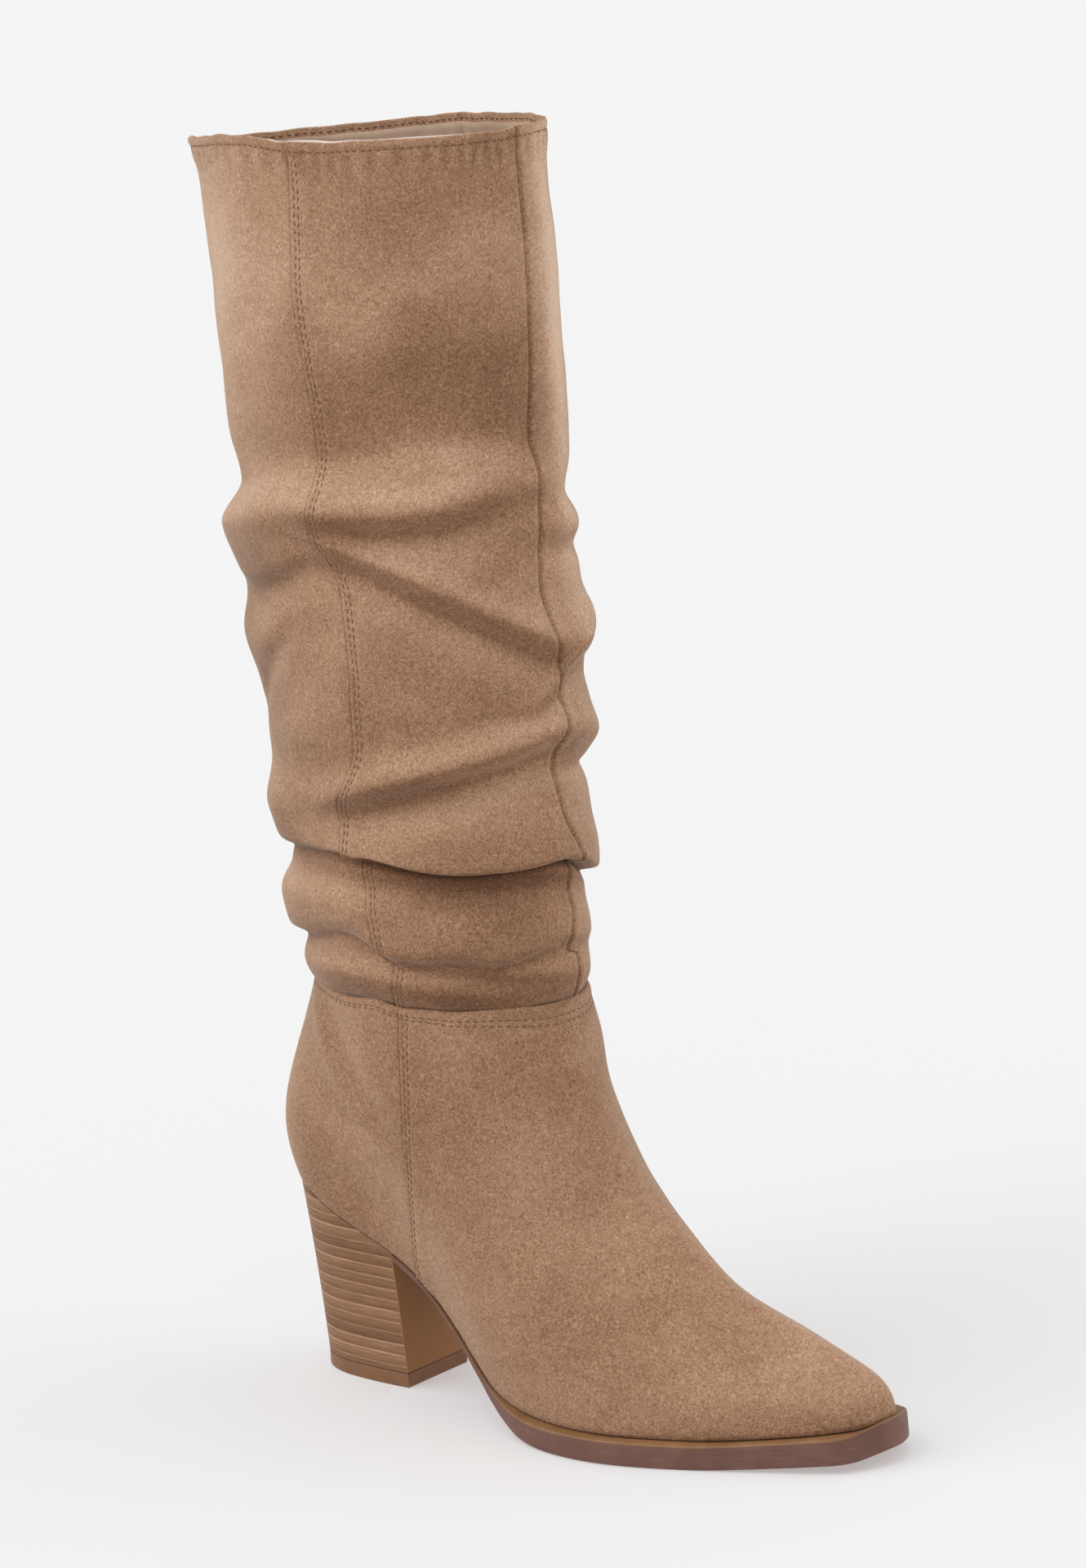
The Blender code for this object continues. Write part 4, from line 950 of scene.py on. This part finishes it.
def stack_material(name):
    """Stained layers: the height divided by the layer's thickness picks each layer's own brown, a
    painted highlight as a light line at its top, painted shade as a dark band under it and fine
    streaks along it. The breast is plain."""
    material, nodes, shader = new_material(name)
    place = own_place(nodes)
    height = add(nodes, "SeparateXYZ", "Z", {0: place})
    height = weigh(nodes, noise(nodes, place, 45.0, 2.0), 0.0003, height)
    count = add(nodes, "Math", 0, {0: height, 1: LAYER}, operation="DIVIDE")
    within = add(nodes, "Math", 0, {0: count}, operation="FRACT")
    layer = add(nodes, "Math", 0, {0: count}, operation="FLOOR")
    draw = add(nodes, "TexWhiteNoise", "Value", {"W": layer}, noise_dimensions="1D")
    streak = noise(nodes, own_place(nodes, Scale=(0.05, 0.05, 1.0)), 2200.0, 4.0, 0.65)
    grain = weigh(nodes, draw, 0.30, streak)
    grain = weigh(nodes, noise(nodes, place, 38.0, 3.0), 0.25, grain)
    wood = ramp(nodes, grain, ((0.50, (0.170, 0.080, 0.038)), (0.85, (0.275, 0.142, 0.072)),
                               (1.0, (0.350, 0.195, 0.105))))
    # Painted highlight along each layer's raised top edge and painted shade in the band under it.
    line = ramp(nodes, within, (
        (0.0, (0.78, 0.72, 0.68)), (0.20, (0.84, 0.80, 0.76)), (0.45, (1.0, 1.0, 1.0)),
        (0.80, (1.0, 1.0, 1.0)), (0.87, (1.65, 1.72, 1.80)), (0.94, (1.60, 1.66, 1.72)),
        (1.0, (0.80, 0.76, 0.72))))
    layered = blend(nodes, 1.0, wood, line, "MULTIPLY")
    colour = blend(nodes, own_mark(nodes, "breast"), layered, (0.330, 0.150, 0.055, 1.0))
    fill(shader, {"Base Color": colour, "Roughness": 0.55, "Specular IOR Level": 0.25,
                  "Normal": bumped(nodes, grain, 0.3, 0.0002)})
    return material


heel_sides, heel_breast = heel_grid(np.linspace(0.0, 1.0, 170))
within_layer = (heel_sides[..., 2] / LAYER) % 1.0
heel_groove = bell(within_layer, 0.10) + bell(within_layer - 1.0, 0.10)
heel_groove *= 0.00009 * (1 - heel_breast)
heel_sides = heel_sides - normals(heel_sides) * heel_groove[..., None]
heel_ring = np.arange(heel_sides.shape[1])
heel = skin("stacked_heel", heel_sides, stack_material("stacked_layers"),
            marks={"breast": np.broadcast_to(heel_breast, heel_sides.shape[:2])},
            caps=(heel_ring[::-1], heel_ring + (len(heel_sides) - 1) * len(heel_ring)))
heel.data.set_sharp_from_angle(angle=np.radians(50))
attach(heel, "root")
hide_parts("heel_block")

# Heel lift: the wearing piece, moulded of hard caramel rubber and pinned under the heel, with a small
# chamfer round its foot.

# Inset and height of its rings, millimetres
LIFT_RINGS = ((0.60, 0.0), (0.25, 0.12), (0.05, 0.45), (0.0, 0.9), (0.0, 2.8), (0.0, 5.1),
              (0.08, 5.4), (0.30, 5.5))


def lift_material(name):
    """Hard rubber: caramel brown with faint clouds and a satin skin."""
    material, nodes, shader = new_material(name)
    cloud = noise(nodes, own_place(nodes), 120.0, 4.0, 0.6)
    colour = ramp(nodes, cloud, ((0.30, (0.185, 0.078, 0.030)), (0.70, (0.250, 0.112, 0.045))))
    fill(shader, {"Base Color": colour, "Roughness": 0.45, "Specular IOR Level": 0.45,
                  "Normal": bumped(nodes, cloud, 0.15, 0.0002)})
    return material


tip_ring = heel_grid(np.zeros(1))[0][0]
tip_ahead = np.roll(tip_ring, -1, 0) - np.roll(tip_ring, 1, 0)
tip_away = np.stack([tip_ahead[:, 1], -tip_ahead[:, 0], 0 * tip_ahead[:, 0]], -1)
tip_away /= np.linalg.norm(tip_away, axis=1, keepdims=True)
lift_grid = np.stack([tip_ring * np.array([1, 1, 0]) - tip_away * inset / 1000
                      + np.array([0, 0, z / 1000]) for inset, z in LIFT_RINGS])
lift = skin("heel_lift_piece", lift_grid, lift_material("caramel_lift_rubber"),
            caps=(heel_ring[::-1], heel_ring + (len(LIFT_RINGS) - 1) * len(heel_ring)))
lift.data.set_sharp_from_angle(angle=np.radians(60))
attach(lift, "root")
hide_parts("heel_lift")

# Insole: a thin sock of lined foam that lies on the sole and the heel seat. Its solid is right as it
# is, and gets the lining's cloth.

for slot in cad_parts["insole"].material_slots:
    slot.material = lining

# Stitching: brown twisted thread, in rows of short stitches that are pulled into the nap: two down
# each side seam, two round the foot part's edge, and one round the rim and its hem, with a pale tack at
# the top of the foot part's seams.

# Rings of one stitch: place along it, thickness and rise, as shares of its half length and thickness
STITCH = np.array(((-1.0, 0.35, -0.9), (-0.72, 0.9, -0.15), (0.0, 1.0, 0.25), (0.72, 0.9, -0.15),
                   (1.0, 0.35, -0.9)))
RING_POINTS = 6


def thread_material(name, pale=1.0):
    """Waxed polyester thread: brown, or pale times lighter, with a fine twist."""
    material, nodes, shader = new_material(name)
    twist = noise(nodes, own_place(nodes), 1600.0, 2.0)
    stops = np.array(((0.135, 0.061, 0.030), (0.215, 0.104, 0.054))) * pale
    fill(shader, {"Base Color": ramp(nodes, twist, ((0.3, stops[0]), (0.7, stops[1]))),
                  "Roughness": 0.6})
    return material


def read_along(run, values, at):
    """Points or directions along a line, read at the runs in at."""
    return np.stack([np.interp(at, run, values[:, k]) for k in range(3)], -1)


def stitch_rows(name, rows, material, pitch=0.0029, length=0.0020, thick=0.00026):
    """Stitches along rows of points. Each is a small capsule of rings, laid along the row and bowed so
    that both its ends dive into the cloth. rows holds pairs of a line of points and the outward
    directions there."""
    places, ways, outs = [], [], []
    for line, out in rows:
        run = np.append(0.0, np.cumsum(np.linalg.norm(np.diff(line, axis=0), axis=1)))
        at = np.arange(pitch / 2, run[-1], pitch)
        ahead = read_along(run, line, at + pitch / 4) - read_along(run, line, at - pitch / 4)
        places.append(read_along(run, line, at))
        ways.append(ahead / np.linalg.norm(ahead, axis=1, keepdims=True))
        outs.append(read_along(run, out, at))
    place, way, out = (np.concatenate(v)[:, None] for v in (places, ways, outs))
    side = np.cross(way, out)
    side /= np.linalg.norm(side, axis=2, keepdims=True)
    out = np.cross(side, way)
    along, fat, rise = STITCH.T[..., None]
    angle = np.arange(RING_POINTS) / RING_POINTS * 2 * np.pi
    a = np.repeat(along * length / 2, RING_POINTS)[:, None]
    b = (fat * np.cos(angle)).ravel()[:, None] * thick
    c = (fat * np.sin(angle) + rise).ravel()[:, None] * thick
    points = place + way * a + side * b + out * c
    count = len(a)
    index = np.arange(count).reshape(len(STITCH), RING_POINTS)
    low, high = index[:-1], index[1:]
    one = np.stack([high, np.roll(high, -1, 1), np.roll(low, -1, 1), low], -1).reshape(-1, 4)
    starts = count * np.arange(len(points))
    quads = (one[None] + starts[:, None, None]).reshape(-1, 4)
    return surface(name, points.reshape(-1, 3), quads, material,
                   caps=(*(index[0] + starts[:, None]), *(index[-1, ::-1] + starts[:, None])))


def seam_row(grid, out, ahead, offset, start, stop):
    """The line on a surface that stays offset millimetres from a seam, row by row: the two columns
    beside it are mixed by their distance from it."""
    side = ahead[start:stop] - offset
    first = np.argmax((side[:, :-1] * side[:, 1:] <= 0) & (np.abs(side[:, :-1]) < 6), axis=1)
    rows = np.arange(start, stop)
    left, right = side[rows - start, first], side[rows - start, first + 1]
    share = (left / (left - right))[:, None]
    return grid[rows, first] * (1 - share) + grid[rows, first + 1] * share, out[rows, first]


def level_row(grid, out, depth, depths):
    """A closed line round a surface along the row whose depth is nearest to the one wanted."""
    row = column_at(depths, depth)
    return tuple(np.concatenate([v[row], v[row][:1]]) for v in (grid, out))


thread = thread_material("brown_thread")
shaft_face = normals(shaft_outside)
foot_face = normals(foot_outside)
visible = int(np.argmax(shaft_rows > TUCK_TOP))
seam_lines = []
for offset in SEAM_STITCHES:
    for ahead in shaft_seams:
        seam_lines.append(seam_row(shaft_outside, shaft_face, ahead, offset, visible,
                                   len(shaft_rows) - 6))
    for ahead in foot_seams:
        seam_lines.append(seam_row(foot_outside, foot_face, ahead, offset, 3, len(foot_rows) - 6))
side_stitches = stitch_rows("side_seam_stitches", seam_lines, thread)
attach(side_stitches, "root")

foot_depths = (1 - foot_rows) * FOOT_CLIMB_RUN
edge_lines = [level_row(foot_outside, foot_face, depth, foot_depths) for depth in EDGE_STITCHES]
edge_stitches = stitch_rows("edge_stitches", edge_lines, thread)
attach(edge_stitches, "root")

tack_rows = np.arange(int(np.argmax(foot_depths < 3.4)), len(foot_rows) - 1)
tacks = [(foot_outside[tack_rows, column + aside], foot_face[tack_rows, column + aside])
         for column in (foot_seam_outer, foot_seam_inner) for aside in (-1, 0, 1)]
seam_tacks = stitch_rows("seam_tacks", tacks, thread_material("pale_thread", 2.4), pitch=0.0026,
                         length=0.0022)
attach(seam_tacks, "root")

rim_depths = SHAFT_TOP - shaft_rows
rim_line = level_row(shaft_outside, shaft_face, RIM_STITCHES, rim_depths)
hem_line = level_row(shaft_outside - outward * 0.0012, -shaft_face, HEM_STITCHES, rim_depths)
rim_stitches = stitch_rows("rim_stitches", [rim_line, hem_line], thread)
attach(rim_stitches, "root")

# Stage: a plain pale floor that glows a little, an even pale sky, three broad suns from the camera's
# front left, its right and above, and a long lens at the photograph's viewing angle.

floor_mesh = bpy.data.meshes.new("floor")
floor_mesh.from_pydata([(-30, -30, 0), (30, -30, 0), (30, 30, 0), (-30, 30, 0)], [], [(0, 1, 2, 3)])
floor = bpy.data.objects.new("floor", floor_mesh)
bpy.context.scene.collection.objects.link(floor)
paper, _, paper_shader = new_material("pale_floor")
fill(paper_shader, {"Base Color": (0.460, 0.485, 0.485, 1.0),
                    "Emission Color": (1.0, 0.925, 0.925, 1.0), "Emission Strength": 0.385,
                    "Roughness": 0.9, "Specular IOR Level": 0.1})
floor_mesh.materials.append(paper)

world = bpy.data.worlds.new("studio")
bpy.context.scene.world = world
world.use_nodes = True
fill(world.node_tree.nodes["Background"], {0: (0.985, 0.99, 1.0, 1.0), 1: 0.56})


def sun(name, strength, size, toward):
    """A distant soft lamp: light comes from the direction toward, spread over size degrees."""
    lamp = bpy.data.lights.new(name, "SUN")
    lamp.energy = strength
    lamp.angle = np.radians(size)
    item = bpy.data.objects.new(name, lamp)
    z = np.array(toward, float) / np.linalg.norm(toward)
    x = np.cross((0.0, 0.0, 1.0), z)
    x /= np.linalg.norm(x)
    turned = np.eye(4)
    turned[:3, :3] = np.stack([x, np.cross(z, x), z], -1)
    item.matrix_world = Matrix(turned.tolist())
    bpy.context.scene.collection.objects.link(item)


sun("key", 1.20, 50.0, (-0.55, -0.72, 0.80))
sun("side", 0.80, 60.0, (0.70, 0.60, 0.42))
sun("top", 0.70, 60.0, (-0.10, -0.15, 1.0))

camera_data = bpy.data.cameras.new("camera")
camera_data.sensor_width = 36.0
camera_data.lens = 112.5
camera_data.clip_end = 100.0
camera = bpy.data.objects.new("camera", camera_data)
bpy.context.scene.collection.objects.link(camera)
camera.matrix_world = Matrix(((0.75844679, -0.11375123, 0.64173135, 1.181577),
                              (0.64974400, 0.20887820, -0.73089167, -1.243557),
                              (-0.05090386, 0.97130353, 0.23233218, 0.626389),
                              (0.0, 0.0, 0.0, 1.0)))
bpy.context.scene.camera = camera
bpy.context.scene.view_settings.view_transform = "Standard"
